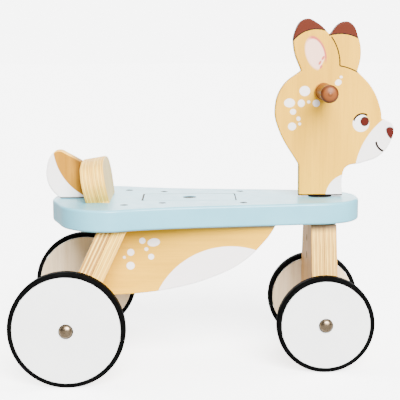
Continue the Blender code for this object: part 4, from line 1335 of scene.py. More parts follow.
def shade(piece):
    """Smooth shading that keeps true corners and flat faces."""
    alone(piece)
    bpy.ops.object.shade_smooth_by_angle(angle=SMOOTH_ANGLE)
    weighted = piece.modifiers.new("flat faces lead", "WEIGHTED_NORMAL")
    weighted.keep_sharp = True
    bpy.ops.object.modifier_apply(modifier=weighted.name)


def dress(piece, *finishes, choose=None):
    """Gives a piece its finishes; choose says for each face which one by its number."""
    piece.data.materials.clear()
    for finish in finishes:
        piece.data.materials.append(finish)
    for face in piece.data.polygons:
        face.material_index = choose(face) if choose else 0
    shade(piece)
    return piece


def dress_board(board, place, thickness, rounding, face_finish, edge_finish):
    """Veneer on a board's two broad faces and their sanded rims, and ply edge on the rest."""
    home = place.inverted()
    rim = (thickness / 2.0 - rounding) * MM

    def plies(face):
        return int(abs((home @ face.center).z) < rim)

    return dress(board, face_finish, edge_finish, choose=plies)


def fit(piece, body, slot, *nodes):
    """Fits a piece to its body, in place of its CAD nodes."""
    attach(piece, body)
    if nodes:
        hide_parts(*nodes)
    return piece


def spot(x, y, z):
    """A place from a station, a distance left and a height, in millimetres."""
    return Matrix.Translation((REAR_AXLE.x + x * MM, y * MM, z * MM))


def upright(y):
    """A board in the plane of stations and heights: its own Z points to the right side."""
    return spot(0.0, y, 0.0) @ Matrix.Rotation(math.pi / 2.0, 4, "X")


def leaning(station, height, lean):
    """A board across the ride-on: own X to the left, own Y up the lean, own Z forward."""
    side = (0.0, 1.0, 0.0)
    up = (math.sin(lean), 0.0, math.cos(lean))
    front = (math.cos(lean), 0.0, -math.sin(lean))
    return spot(station, 0.0, height) @ Matrix((side, up, front)).transposed().to_4x4()


def sideways(x, y, z, side):
    """A place whose own Z points out to one side."""
    return spot(x, y, z) @ Matrix.Rotation(-side * math.pi / 2.0, 4, "X")


def both_sides(outline):
    """A closed outline from its half at +X, which runs from the foot to the top."""
    return list(outline) + [(-x, y, kind) for x, y, kind in reversed(outline) if x > GAP]


SIDES = (("_left", 1.0), ("_right", -1.0))


# Camera, light and floor

def make_camera():
    """The photograph's view: almost square on to the right side, from a little above."""
    turn = (
        Matrix.Rotation(-CAMERA_YAW, 4, "Z")
        @ Matrix.Rotation(math.pi / 2.0 - CAMERA_PITCH, 4, "X")
        @ Matrix.Rotation(CAMERA_ROLL, 4, "Z")
    )
    bpy.ops.object.camera_add()
    camera = bpy.context.object
    camera.matrix_world = spot(*CAMERA_PLACE) @ turn
    camera.data.lens = CAMERA_LENS
    camera.data.sensor_width = CAMERA_SENSOR
    camera.data.clip_end = CAMERA_REACH
    bpy.context.scene.camera = camera


def soft_sun(name, elevation, azimuth, softness, strength):
    """An even soft light from a direction: azimuth 0 is the camera's side, 90 the front."""
    bpy.ops.object.light_add(type="SUN")
    lamp = bpy.context.object
    lamp.name = name
    lamp.data.energy = strength
    lamp.data.angle = math.radians(softness)
    up, round_by = math.radians(elevation), math.radians(azimuth)
    towards = Vector((
        math.cos(up) * math.sin(round_by), -math.cos(up) * math.cos(round_by), math.sin(up)
    ))
    lamp.rotation_euler = towards.to_track_quat("Z", "Y").to_euler()


def make_studio():
    """A pale floor, white surroundings and soft boxes, as in a product photograph."""
    bpy.ops.object.select_all(action="DESELECT")
    bpy.ops.mesh.primitive_plane_add(size=FLOOR_SIZE)
    floor = named("studio_floor")
    # Matt white paper: even, with the faintest cloud, and lit through from behind
    finish, tree, shader = new_finish(
        "studio_floor_paper",
        {"Roughness": 0.9, "Emission Color": linear("FFFFFF"), "Emission Strength": PAPER_GLOW},
    )
    where = own_place(tree, Matrix.Identity(4))
    cloud = add_node(
        tree, "ShaderNodeTexNoise",
        {
            "Vector": add_node(
                tree, "ShaderNodeMapping", {"Vector": where, "Scale": scale_of(400.0, 400.0, 400.0)}
            ),
            "Scale": 1.0,
            "Detail": 3.0,
            "Roughness": FINER_SHARE,
        },
    )
    tone = add_node(
        tree, "ShaderNodeMix",
        {"Factor": cloud, "A": linear("FCFCFC"), "B": linear("F9F9F9")},
        data_type="RGBA",
    )
    feed(tree, shader, {"Base Color": tone})
    floor.data.materials.append(finish)
    # The paper's own bounce would fill every shadow: the world's lower half stands in for it
    floor.visible_diffuse = False
    floor.visible_glossy = False
    world = bpy.data.worlds.new("white_studio")
    world.use_nodes = True
    tree = world.node_tree
    # The paper behind the ride-on is lit, so that it shows in the gloss of the seat
    way = add_node(tree, "ShaderNodeTexCoord")
    parts = add_node(tree, "ShaderNodeSeparateXYZ", {"Vector": way.outputs["Generated"]})
    behind = add_node(
        tree, "ShaderNodeMapRange",
        {
            "Value": parts.outputs["Y"],
            "From Min": 0.8,
            "From Max": 0.95,
            "To Min": WALL_LIGHT,
            "To Max": GLOSS_LIGHT,
        },
    )
    below = add_node(
        tree, "ShaderNodeMapRange",
        {
            "Value": parts.outputs["Z"],
            "From Min": -0.1,
            "From Max": 0.0,
            "To Min": 1.0,
            "To Max": 0.0,
        },
    )
    room = add_node(tree, "ShaderNodeMix", {"Factor": below, "A": behind, "B": BOUNCE_LIGHT})
    seen = add_node(tree, "ShaderNodeLightPath").outputs["Is Camera Ray"]
    strength = add_node(tree, "ShaderNodeMix", {"Factor": seen, "A": room, "B": PAPER_LIGHT})
    feed(tree, tree.nodes["Background"], {"Color": linear("FFFFFF"), "Strength": strength})
    bpy.context.scene.world = world
    soft_sun("key_light", *KEY_LIGHT)
    soft_sun("top_light", *TOP_LIGHT)


# The deer's marks

def beyond(tree, where, axis, limit, soft=0.3):
    """1 where a point's X or Y is past a limit in millimetres."""
    parts = add_node(tree, "ShaderNodeSeparateXYZ", {"Vector": where})
    return add_node(
        tree, "ShaderNodeMapRange",
        {
            "Value": parts.outputs[axis],
            "From Min": (limit - soft) * MM,
            "From Max": (limit + soft) * MM,
        },
    )


def dab(tree, where, tone, colour, *shapes):
    """Lays one colour of print over each ellipse of a list."""
    for shape in shapes:
        tone = add_node(
            tree, "ShaderNodeMix",
            {"Factor": filled(tree, where, shape), "A": tone, "B": colour},
            data_type="RGBA",
        )
    return tone


def stroke(tree, where, tone, shape, zone, width):
    """An ink line along an ellipse's edge, printed only inside a zone."""
    line = drawn(tree, where, shape, width)
    inked = add_node(
        tree, "ShaderNodeMath", {0: line, 1: filled(tree, where, zone)}, operation="MULTIPLY"
    )
    return add_node(
        tree, "ShaderNodeMix", {"Factor": inked, "A": tone, "B": OUTLINE}, data_type="RGBA"
    )


def ear_tips(tree, where, tone):
    """The ears' brown tips, which are printed round the board's edge too."""
    ear_zone = beyond(tree, where, "Y", EAR_ZONE_HEIGHT)
    front_ear = beyond(tree, where, "X", EAR_GAP_STATION)
    rear_ear = add_node(tree, "ShaderNodeMath", {0: 1.0, 1: front_ear}, operation="SUBTRACT")
    for tip, ear in ((REAR_EAR_TIP, rear_ear), (FRONT_EAR_TIP, front_ear)):
        zone = add_node(tree, "ShaderNodeMath", {0: ear_zone, 1: ear}, operation="MULTIPLY")
        past = add_node(
            tree, "ShaderNodeMath", {0: 1.0, 1: filled(tree, where, tip)}, operation="SUBTRACT"
        )
        brown = add_node(tree, "ShaderNodeMath", {0: zone, 1: past}, operation="MULTIPLY")
        tone = add_node(
            tree, "ShaderNodeMix", {"Factor": brown, "A": tone, "B": EAR_BROWN}, data_type="RGBA"
        )
        line = add_node(
            tree, "ShaderNodeMath",
            {0: zone, 1: drawn(tree, where, tip, EAR_TIP_LINE)},
            operation="MULTIPLY",
        )
        tone = add_node(
            tree, "ShaderNodeMix", {"Factor": line, "A": tone, "B": OUTLINE}, data_type="RGBA"
        )
    return tone


def foot_shade_band(tree, where, tone):
    """A dark band painted at the neck's foot, as shade under the neck."""
    past = beyond(tree, where, "Y", SEAT_TOP + STEER_GAP + FOOT_SHADE_HEIGHT)
    return add_node(
        tree, "ShaderNodeMix", {"Factor": past, "A": OUTLINE, "B": tone}, data_type="RGBA"
    )


def rim_marks(tree, where, tone):
    """The marks that go round the head board's rim, and the painted shade at the neck's foot."""
    return foot_shade_band(tree, where, ear_tips(tree, where, tone))


def head_marks(tree, where, tone):
    """Ears, spots, eye, muzzle, nose, mouth and chest on both faces of the head board, and a dark
    band painted at the neck's foot as shade.
    """
    tone = dab(tree, where, tone, PALE_PRINT, *HEAD_SPOTS)
    tone = dab(tree, where, tone, MUZZLE_WHITE, MUZZLE, CHEST)
    tone = ear_tips(tree, where, tone)
    inner = filled(tree, where, INNER_EAR, soft=1.2)
    inner_front = filled(tree, where, INNER_EAR_FRONT, soft=0.8)
    pale = add_node(tree, "ShaderNodeMath", {0: inner, 1: inner_front}, operation="MULTIPLY")
    tone = add_node(
        tree, "ShaderNodeMix", {"Factor": pale, "A": tone, "B": INNER_EAR_WHITE}, data_type="RGBA"
    )
    rim = drawn(tree, where, INNER_EAR, EAR_RIM_LINE, soft=0.7)
    rim_zone = filled(tree, where, INNER_EAR_RIM_ZONE, soft=4.0)
    pink = add_node(tree, "ShaderNodeMath", {0: rim, 1: rim_zone}, operation="MULTIPLY")
    tone = add_node(
        tree, "ShaderNodeMix", {"Factor": pink, "A": tone, "B": EAR_PINK}, data_type="RGBA"
    )
    tone = dab(tree, where, tone, EAR_PINK, *EAR_TUFTS)
    for shape, zone in EAR_LINES:
        tone = stroke(tree, where, tone, shape, zone, EAR_LINE)
    tone = dab(tree, where, tone, MUZZLE_WHITE, EYE_WHITE)
    tone = dab(tree, where, tone, IRIS_RIM, IRIS)
    inner_iris = (*IRIS[:2], IRIS[2] - DARK_RIM, IRIS[3] - DARK_RIM, 0.0)
    iris = filled(tree, where, inner_iris, soft=0.9)
    tone = add_node(
        tree, "ShaderNodeMix", {"Factor": iris, "A": tone, "B": IRIS_RED}, data_type="RGBA"
    )
    tone = stroke(tree, where, tone, LASH, LASH_ZONE, LASH_LINE)
    tone = stroke(tree, where, tone, MOUTH, MOUTH_ZONE, MOUTH_LINE)
    for colour, rim in ((NOSE_RIM, 0.0), (NOSE_RED, DARK_RIM)):
        nose = 1.0
        for x, y, across, up, turn in NOSE:
            part = filled(tree, where, (x, y, across - rim, up - rim, turn), soft=0.5)
            nose = add_node(tree, "ShaderNodeMath", {0: nose, 1: part}, operation="MULTIPLY")
        tone = add_node(
            tree, "ShaderNodeMix", {"Factor": nose, "A": tone, "B": colour}, data_type="RGBA"
        )
    return foot_shade_band(tree, where, tone)


def under_seat_shade(reach, colour):
    """Marks for wood painted greyer just under the seat, as the seat's shade."""
    def marks(tree, _, tone):
        place = add_node(tree, "ShaderNodeTexCoord")
        parts = add_node(tree, "ShaderNodeSeparateXYZ", {"Vector": place.outputs["Object"]})
        under = (SEAT_TOP - SEAT_THICKNESS) * MM
        clear, full = under - reach * MM, under - 0.4 * reach * MM
        share = add_node(
            tree, "ShaderNodeMapRange",
            {
                "Value": parts.outputs["Z"],
                "From Min": clear,
                "From Max": full,
                "To Min": 0.0,
                "To Max": 0.95,
            },
        )
        return add_node(
            tree, "ShaderNodeMix", {"Factor": share, "A": tone, "B": colour}, data_type="RGBA"
        )

    return marks


def screw_shade_rings(tree, where, tone):
    """Dark rings painted round the black screws in the front leg, as shade in their countersinks."""
    top = SEAT_TOP - SEAT_THICKNESS - STEER_GAP - FRONT_RADIUS
    radius = SCREW_SHADE_RADIUS
    rings = [(0.0, top - depth, radius, radius, 0.0) for depth in LEG_SCREW_DEPTHS]
    return dab(tree, where, tone, OUTLINE, *rings)


def belly_marks(tree, where, tone):
    """The pale belly and the fawn's spots, with painted shade just under the seat."""
    tone = dab(tree, where, tone, PALE_PRINT, *BELLY_SPOTS)
    tone = dab(tree, where, tone, BELLY_WHITE, BELLY)
    return under_seat_shade(BELLY_SHADE_REACH, SEAT_SHADE_GREY)(tree, where, tone)


def tail_joint_shade(tree, where, tone):
    """Painted shade on the tail along its foot and along the backrest that it stands against."""
    parts = add_node(tree, "ShaderNodeSeparateXYZ", {"Vector": where})
    lean = -math.tan(BACKREST_LEAN)
    level_x = add_node(
        tree, "ShaderNodeMath",
        {0: parts.outputs["Y"], 1: lean, 2: parts.outputs["X"]},
        operation="MULTIPLY_ADD",
    )
    face = BACKREST_STATION - BACKREST_BOARD + SEAT_TOP * lean
    clear, full = [(face - away) * MM for away in TAIL_SHADE_REACH]
    joint = add_node(
        tree, "ShaderNodeMapRange",
        {"Value": level_x, "From Min": clear, "From Max": full, "To Min": 0.0, "To Max": 0.75},
    )
    tone = add_node(
        tree, "ShaderNodeMix", {"Factor": joint, "A": tone, "B": TAIL_SHADE_BROWN}, data_type="RGBA"
    )
    foot = add_node(
        tree, "ShaderNodeMath",
        {0: 1.0, 1: beyond(tree, where, "Y", SEAT_TOP + GAP + FOOT_SHADE_HEIGHT)},
        operation="SUBTRACT",
    )
    dark_foot = add_node(tree, "ShaderNodeMath", {0: foot, 1: 0.8}, operation="MULTIPLY")
    return add_node(
        tree, "ShaderNodeMix", {"Factor": dark_foot, "A": tone, "B": OUTLINE}, data_type="RGBA"
    )


def tail_marks(tree, where, tone):
    """The tail's white underside, behind one arc, and the painted shade at its joints."""
    behind = add_node(
        tree, "ShaderNodeMath", {0: 1.0, 1: filled(tree, where, TAIL_ARC)}, operation="SUBTRACT"
    )
    tone = add_node(
        tree, "ShaderNodeMix", {"Factor": behind, "A": tone, "B": MUZZLE_WHITE}, data_type="RGBA"
    )
    return tail_joint_shade(tree, where, tone)


# The pieces

def bore_along(place, foot, radius, length=4.0 * BOLT_HEAD_RADIUS):
    """A bore's cutter along a place's own Z, from a foot in millimetres, with the fit."""
    return rod("bore", radius + GAP, length, place @ Matrix.Translation((0.0, 0.0, foot * MM)))


def stop_slot():
    """The cutter of the arc slot that the stop pin rides in, under the seat."""
    half = STOP_PIN_RADIUS + RUN
    outline = []
    for radius, direction in ((STOP_PIN_OFFSET + half, 1.0), (STOP_PIN_OFFSET - half, -1.0)):
        for step in range(CURVE_STEPS + 1):
            angle = math.pi / 2.0 + direction * STEER_LIMIT * (2.0 * step / CURVE_STEPS - 1.0)
            outline.append((radius * math.cos(angle), radius * math.sin(angle), "corner"))
        end = math.pi / 2.0 + direction * STEER_LIMIT
        x, y = STOP_PIN_OFFSET * math.cos(end), STOP_PIN_OFFSET * math.sin(end)
        start = end if direction > 0.0 else end + math.pi
        for step in range(1, CURVE_STEPS):
            angle = start + math.pi * step / CURVE_STEPS
            outline.append((x + half * math.cos(angle), y + half * math.sin(angle), "corner"))
    depth = STOP_PIN_IN_SEAT + RUN
    slot = saw_board("stop_slot", outline, 2.0 * depth)
    return lay(slot, spot(WHEELBASE, 0.0, SEAT_TOP - SEAT_THICKNESS))


def make_seat():
    """The painted seat board, sunk for its lid and its bolts."""
    left = [(station, half, "smooth") for station, half in SEAT_HALF_WIDTHS]
    right = [(station, -half, "smooth") for station, half in reversed(SEAT_HALF_WIDTHS)]
    outline = [(-SEAT_REAR, 0.0, "smooth"), *left, (SEAT_NOSE, 0.0, "smooth"), *right]
    seat = saw_board("painted_seat", outline, SEAT_THICKNESS, SEAT_ROUND)
    lay(seat, spot(0.0, 0.0, SEAT_TOP - SEAT_THICKNESS / 2.0))
    centre = (REAR_AXLE.x / MM + LID_MIDDLE, 0.0, SEAT_TOP)
    depth = 2.0 * (LID_THICKNESS + GAP)
    pocket = block("pocket", (LID_LENGTH, LID_WIDTH, depth), centre, LID_CORNER)
    size = (LID_LENGTH - 2.0 * LID_LEDGE, LID_WIDTH - 2.0 * LID_LEDGE, 3.0 * SEAT_THICKNESS)
    throat = block("throat", size, centre, LID_CORNER)
    bores = [rod("bush_bore", BUSH_BORE, 2.0 * SEAT_TOP, spot(WHEELBASE, 0.0, 0.0))]
    for place in bolt_places():
        bores.append(bore_along(place, -BOLT_HEAD_HEIGHT - GAP, BOLT_HEAD_RADIUS))
        bores.append(bore_along(place, -BOLT_LENGTH, BOLT_RADIUS, BOLT_LENGTH))
    for place in backrest_screw_places():
        bores.append(bore_along(place, -2.0 * SCREW_HEAD_HEIGHT, SCREW_HEAD_RADIUS))
        bores.append(bore_along(place, -SEAT_THICKNESS - CUT_OVER, SCREW_RADIUS, SEAT_THICKNESS))
    cut(seat, pocket, throat, stop_slot(), *bores)
    lid_middle = Vector((centre[0] * MM, 0.0, (SEAT_TOP - LID_THICKNESS / 2.0) * MM))
    reach = Vector((LID_LENGTH / 2.0, LID_WIDTH / 2.0, LID_THICKNESS / 2.0 + GAP)) * MM
    holes = [place.to_translation() for place in bolt_places()]
    # Faces this near a bolt's middle are its bore's, also where the bore slants
    near = 1.3 * BOLT_HEAD_RADIUS * MM

    def unpainted(face):
        away = face.center - lid_middle
        inside = all(abs(away[axis]) < reach[axis] + WELD * MM for axis in range(3))
        bored = any((face.center - hole).to_2d().length < near for hole in holes)
        return int((inside or bored) and abs(face.normal.z) < LEVEL_FACE)

    # The pocket's walls and the bores take the bare core, darkened as painted shade
    dress(seat, SEAT_PAINT, BARE_CORE_SHADED, choose=unpainted)
    fit(seat, "seat_frame", "blue_paint", "seat_board")
    size = (LID_LENGTH - 2.0 * LID_GAP, LID_WIDTH - 2.0 * LID_GAP, LID_THICKNESS)
    centre = (centre[0], 0.0, SEAT_TOP - LID_THICKNESS / 2.0)
    lid = block("painted_lid", size, centre, LID_CORNER - LID_GAP)
    hole = Matrix.Translation((centre[0] * MM, 0.0, (SEAT_TOP - 2.0 * LID_THICKNESS) * MM))
    cut(lid, rod("finger_hole", FINGER_HOLE_RADIUS, 3.0 * LID_THICKNESS, hole))
    for level in (SEAT_TOP, SEAT_TOP - LID_THICKNESS):
        round_edges(lid, LID_ROUND, 3, at_level(level))
    # The lid's walls take the bare core, darkened as painted shade
    dress(lid, BLUE_PAINT, BARE_CORE_SHADED, choose=lambda face: int(abs(face.normal.z) < UPRIGHT_FACE))
    fit(lid, "lid", "blue_paint", "compartment_lid")


def climbed(station, level, lean, height):
    """Where a leaning line from (station, level) has climbed to the given height."""
    return station + (height - level) * math.tan(lean)


def bolt_places():
    """Each seat bolt's place: the middle of its head's top, own Z along the bolt."""
    sunk = BOLT_HEAD_RADIUS * math.sin(REAR_LEAN) + BOLT_SUNK
    station = climbed(0.0, REAR_RADIUS, REAR_LEAN, SEAT_TOP - sunk)
    places = []
    turn = Matrix.Rotation(REAR_LEAN, 4, "Y")
    for side in (1.0, -1.0):
        places.append(spot(station, side * LEG_BOLT_OFFSET, SEAT_TOP - sunk) @ turn)
    for station in BELLY_BOLT_STATIONS:
        for side in (1.0, -1.0):
            places.append(spot(station, side * BELLY_HALF_SPAN, SEAT_TOP - BOLT_SUNK))
    return places


def make_bolts():
    """Black socket-head bolts down through the seat, with eased heads and tips."""
    names = (
        "leg_bolt_left", "leg_bolt_right", "belly_bolt_rear_left", "belly_bolt_rear_right",
        "belly_bolt_front_left", "belly_bolt_front_right",
    )
    ease, mid_ease, tip_ease = 0.7, 0.2, 0.5
    first = turn_piece("socket_bolt", [
        (0.0, 0.0), (BOLT_HEAD_RADIUS - ease, 0.0), (BOLT_HEAD_RADIUS - mid_ease, -mid_ease),
        (BOLT_HEAD_RADIUS, -ease), (BOLT_HEAD_RADIUS, -BOLT_HEAD_HEIGHT),
        (BOLT_RADIUS, -BOLT_HEAD_HEIGHT), (BOLT_RADIUS, tip_ease - BOLT_LENGTH),
        (BOLT_RADIUS - tip_ease, -BOLT_LENGTH), (0.0, -BOLT_LENGTH),
    ])
    socket_foot = Matrix.Translation((0.0, 0.0, -SOCKET_DEPTH * MM))
    cut(first, rod("socket", SOCKET_RADIUS, CUT_OVER, socket_foot, sides=6))
    for name, place in zip(names, bolt_places()):
        bolt = lay_copy(first, "seat_" + name, place)
        dress(bolt, DARK_STEEL)
        fit(bolt, "seat_frame", "steel", name)
    bpy.data.objects.remove(first, do_unlink=True)


def belly_nut_places():
    """The belly's cross nuts: each one's middle, own Z towards the compartment."""
    inner = BELLY_HALF_SPAN - BOARD / 2.0
    offset = inner + BELLY_NUT_LENGTH / 2.0 + GAP
    places = []
    for label, station in zip(("rear", "front"), BELLY_BOLT_STATIONS):
        for side_label, side in SIDES:
            place = sideways(station, side * offset, SEAT_TOP - NUT_DEPTH, -side)
            places.append(("belly_nut_" + label + side_label, place))
    return places


def leg_nut_places():
    """The rear leg's cross nuts: each one's middle, own Z out of the leg's rear face."""
    height = SEAT_TOP - NUT_DEPTH
    inset = BOARD + GAP / 2.0 - LEG_NUT_LENGTH / 2.0
    station = climbed(0.0, REAR_RADIUS, REAR_LEAN, height) - inset * math.cos(REAR_LEAN)
    turn = Matrix.Rotation(REAR_LEAN - math.pi / 2.0, 4, "Y")
    level = height + inset * math.sin(REAR_LEAN)
    return [
        ("leg_nut" + label, spot(station, side * LEG_BOLT_OFFSET, level) @ turn)
        for label, side in SIDES
    ]


def make_nuts():
    """Cross nuts: short steel bars, slotted so that a screwdriver can turn them to their bolts."""
    ease = 0.6
    for length, places in (
        (BELLY_NUT_LENGTH, belly_nut_places()), (LEG_NUT_LENGTH, leg_nut_places())
    ):
        half = length / 2.0
        first = turn_piece("cross_nut", [
            (0.0, -half), (NUT_RADIUS - ease, -half), (NUT_RADIUS, ease - half),
            (NUT_RADIUS, half - ease), (NUT_RADIUS - ease, half), (0.0, half),
        ])
        size = (4.0 * NUT_RADIUS, NUT_SLOT_WIDTH, NUT_SLOT_HEIGHT)
        cut(first, block("slot", size, (0.0, 0.0, half)))
        for name, place in places:
            nut = lay_copy(first, "slotted_" + name, place)
            dress(nut, BRIGHT_STEEL)
            fit(nut, "seat_frame", "steel", name)
        bpy.data.objects.remove(first, do_unlink=True)


def wood_screw(name, radius, head_radius, head_height, length):
    """A countersunk wood screw with a cross recess, its head's top at height 0."""
    tip, ease = 2.0 * radius, 0.3
    screw = turn_piece(name, [
        (0.0, 0.0), (head_radius - ease, 0.0), (head_radius, -ease), (radius, -head_height),
        (radius, tip - length), (0.0, -length),
    ])
    arm = 1.1 * head_radius
    width = 0.24 * head_radius
    return cut(
        screw, block("recess", (arm, width, head_height), (0.0, 0.0, 0.0)),
        block("recess", (width, arm, head_height), (0.0, 0.0, 0.0)),
    )


def backrest_screw_places():
    """The screws up into the backrest: the middle of each head, own Z down out of the seat."""
    sunk = SCREW_HEAD_RADIUS * math.sin(abs(BACKREST_LEAN)) + BOLT_SUNK
    level = SEAT_TOP - SEAT_THICKNESS + sunk
    front_board = BACKREST_STATION + (BACKREST_BOARD + GAP) / 2.0 / math.cos(BACKREST_LEAN)
    station = climbed(front_board, SEAT_TOP, BACKREST_LEAN, level)
    turn = Matrix.Rotation(math.pi + BACKREST_LEAN, 4, "Y")
    return [spot(station, side * BACKREST_SCREW_OFFSET, level) @ turn for _, side in SIDES]


def leg_screw_places():
    """The screws through the shaft: the middle of each head, own Z out of the leg's rear face."""
    station = WHEELBASE - BOARD - GAP / 2.0 + BOLT_SUNK
    turn = Matrix.Rotation(-math.pi / 2.0, 4, "Y")
    top = SEAT_TOP - SEAT_THICKNESS - STEER_GAP
    return [spot(station, 0.0, top - depth) @ turn for depth in LEG_SCREW_DEPTHS]


def make_screws():
    """Wood screws up into the backrest and, dark, from behind through the steering shaft."""
    first = wood_screw(
        "wood_screw", SCREW_RADIUS, SCREW_HEAD_RADIUS, SCREW_HEAD_HEIGHT, SCREW_LENGTH
    )
    for (label, _), place in zip(SIDES, backrest_screw_places()):
        screw = lay_copy(first, "cross_head_backrest_screw" + label, place)
        dress(screw, BRIGHT_STEEL)
        fit(screw, "seat_frame", "steel", "backrest_screw" + label)
    bpy.data.objects.remove(first, do_unlink=True)
    first = wood_screw(
        "leg_screw", LEG_SCREW_RADIUS, LEG_SCREW_HEAD_RADIUS, LEG_SCREW_HEAD_HEIGHT, LEG_SCREW_LENGTH
    )
    for number, place in enumerate(leg_screw_places(), start=1):
        name = "shaft_screw_%d" % number
        screw = lay_copy(first, "cross_head_" + name, place)
        dress(screw, DARK_STEEL)
        fit(screw, "steering", "steel", name)
    bpy.data.objects.remove(first, do_unlink=True)


def leg_half(half_widths, top):
    """Half of a leg's outline from its axle's height: a rounded foot, then its side."""
    foot_half = half_widths[0][0]
    inset = 0.3 * FOOT_CORNER
    points = [
        (0.0, -FOOT_BELOW_AXLE, "corner"),
        (foot_half - FOOT_CORNER, -FOOT_BELOW_AXLE, "corner"),
        (foot_half - inset, inset - FOOT_BELOW_AXLE, "corner"),
        (foot_half, FOOT_CORNER - FOOT_BELOW_AXLE, "corner"),
    ]
    points += [(half, height, "corner") for half, height in half_widths if height > 0.0]
    return points + [(0.0, top, "corner")]


def glued_pair(names, outline, thickness, place):
    """Two boards glued face to face, the first in front: each board and its own place."""
    made = []
    for name, direction in zip(names, (1, -1)):
        shift = direction * (thickness + GAP) / 2.0
        own = place @ Matrix.Translation((0.0, 0.0, shift * MM))
        board = saw_board(name, outline, thickness, BOARD_ROUND, rims=(direction,))
        made.append((lay(board, own), own))
    return made


def make_rear_leg():
    """The raked rear leg of two birch boards."""
    rise = (SEAT_TOP - SEAT_THICKNESS - REAR_RADIUS) / math.cos(REAR_LEAN)
    over = BOARD * math.tan(REAR_LEAN) + CUT_OVER
    narrowing = (REAR_HALF_WIDTHS[0] - REAR_HALF_WIDTHS[1]) / rise
    sides = ((REAR_HALF_WIDTHS[0], 0.0), (REAR_HALF_WIDTHS[1] - narrowing * over, rise + over))
    outline = both_sides(leg_half(sides, rise + over))
    names = ("rear_leg_ply_front", "rear_leg_ply_rear")
    nodes = ("rear_leg_front_board", "rear_leg_rear_board")
    pair = glued_pair(names, outline, BOARD, leaning(0.0, REAR_RADIUS, REAR_LEAN))
    for (board, place), node, colours in zip(pair, nodes, (PALE_PLY, BROWN_PLY)):
        trim(board, SEAT_TOP - SEAT_THICKNESS - GAP, -1)
        for _, nut in leg_nut_places():
            foot = -LEG_NUT_LENGTH / 2.0 - GAP
            cut(board, bore_along(nut, foot, NUT_RADIUS, LEG_NUT_LENGTH + CUT_OVER))
        # The edges are painted greyer just under the seat, as its shade
        dress_board(
            board, place, BOARD, GAP,
            ply_face(node + "_veneer", place, CLEAR),
            ply_edge(
                node + "_edge", place, colours=colours, marks=under_seat_shade(REAR_LEG_SHADE_REACH, SEAT_SHADE_GREY)
            ),
        )
        fit(board, "seat_frame", "birch_plywood", node)


def make_front_leg():
    """The upright front leg of two birch boards, which steers."""
    top = SEAT_TOP - SEAT_THICKNESS - STEER_GAP - FRONT_RADIUS
    flare = FRONT_FLARE_HEIGHT - FRONT_RADIUS
    wide, narrow = FRONT_HALF_WIDTHS
    outline = both_sides(leg_half(((wide, 0.0), (wide, flare), (narrow, top)), top))
    names = ("front_leg_ply_front", "front_leg_ply_rear")
    nodes = ("front_leg_front_board", "front_leg_rear_board")
    pair = glued_pair(names, outline, BOARD, leaning(WHEELBASE, FRONT_RADIUS, 0.0))
    # The rear board's veneer has dark rings painted round its screws, as shade
    for (board, place), node, marks in zip(pair, nodes, (None, screw_shade_rings)):
        for screw in leg_screw_places():
            cut(board, bore_along(screw, -LEG_SCREW_HEAD_HEIGHT, LEG_SCREW_HEAD_RADIUS))
        # The veneer takes the darker copy of the clear stain, as painted shade
        dress_board(
            board, place, BOARD, GAP,
            ply_face(node + "_veneer", place, CLEAR_SHADED, marks=marks),
            # The edges are painted greyer just under the seat, as its shade
            ply_edge(node + "_edge", place, marks=under_seat_shade(FRONT_LEG_SHADE_REACH, SEAT_SHADE_BROWN)),
        )
        fit(board, "steering", "birch_plywood", node)


def neck_pin_place():
    """The neck pin's outer end, own Z out of the head board's left face."""
    level = SEAT_TOP + STEER_GAP + NECK_PIN_HEIGHT
    return sideways(WHEELBASE, BOARD / 2.0 - BOLT_SUNK, level, 1.0)


def make_neck_pin():
    """The steel pin through the neck and the top of the shaft."""
    ease, crown = 0.5, 0.1
    pin = turn_piece("domed_neck_pin", [
        (0.0, 0.0), (NECK_PIN_RADIUS - ease, -crown), (NECK_PIN_RADIUS, -ease),
        (NECK_PIN_RADIUS, -NECK_PIN_LENGTH), (0.0, -NECK_PIN_LENGTH),
    ])
    dress(lay(pin, neck_pin_place()), BRIGHT_STEEL)
    fit(pin, "steering", "steel", "neck_pin")


def make_bushes():
    """The nylon bushes that the shaft turns in, with eased flanges."""
    outer = BUSH_BORE - GAP
    inner = SHAFT_RADIUS + GAP
    ease = 0.4
    sleeve = SEAT_THICKNESS / 2.0 - GAP
    first = turn_piece("flanged_bush", [
        (inner, FLANGE_THICKNESS), (FLANGE_RADIUS - ease, FLANGE_THICKNESS),
        (FLANGE_RADIUS, FLANGE_THICKNESS - ease), (FLANGE_RADIUS, ease), (FLANGE_RADIUS - ease, 0.0),
        (outer, 0.0), (outer, -sleeve), (inner, -sleeve),
    ])
    # The upper bush is black above half its flange, under the neck, as painted shade of the gap
    # there, and white below that
    black_from = SEAT_TOP * MM + FLANGE_THICKNESS / 2.0 * MM
    for name, level, turn in (
        ("upper_bush", SEAT_TOP + GAP, 0.0),
        ("lower_bush", SEAT_TOP - SEAT_THICKNESS - GAP, math.pi),
    ):
        place = spot(WHEELBASE, 0.0, level) @ Matrix.Rotation(turn, 4, "X")
        bush = lay_copy(first, "flanged_" + name, place)
        dress(bush, NYLON, SHADE_BLACK_NYLON, choose=lambda face: int(face.center.z > black_from))
        fit(bush, "seat_frame", "nylon", name)
    bpy.data.objects.remove(first, do_unlink=True)


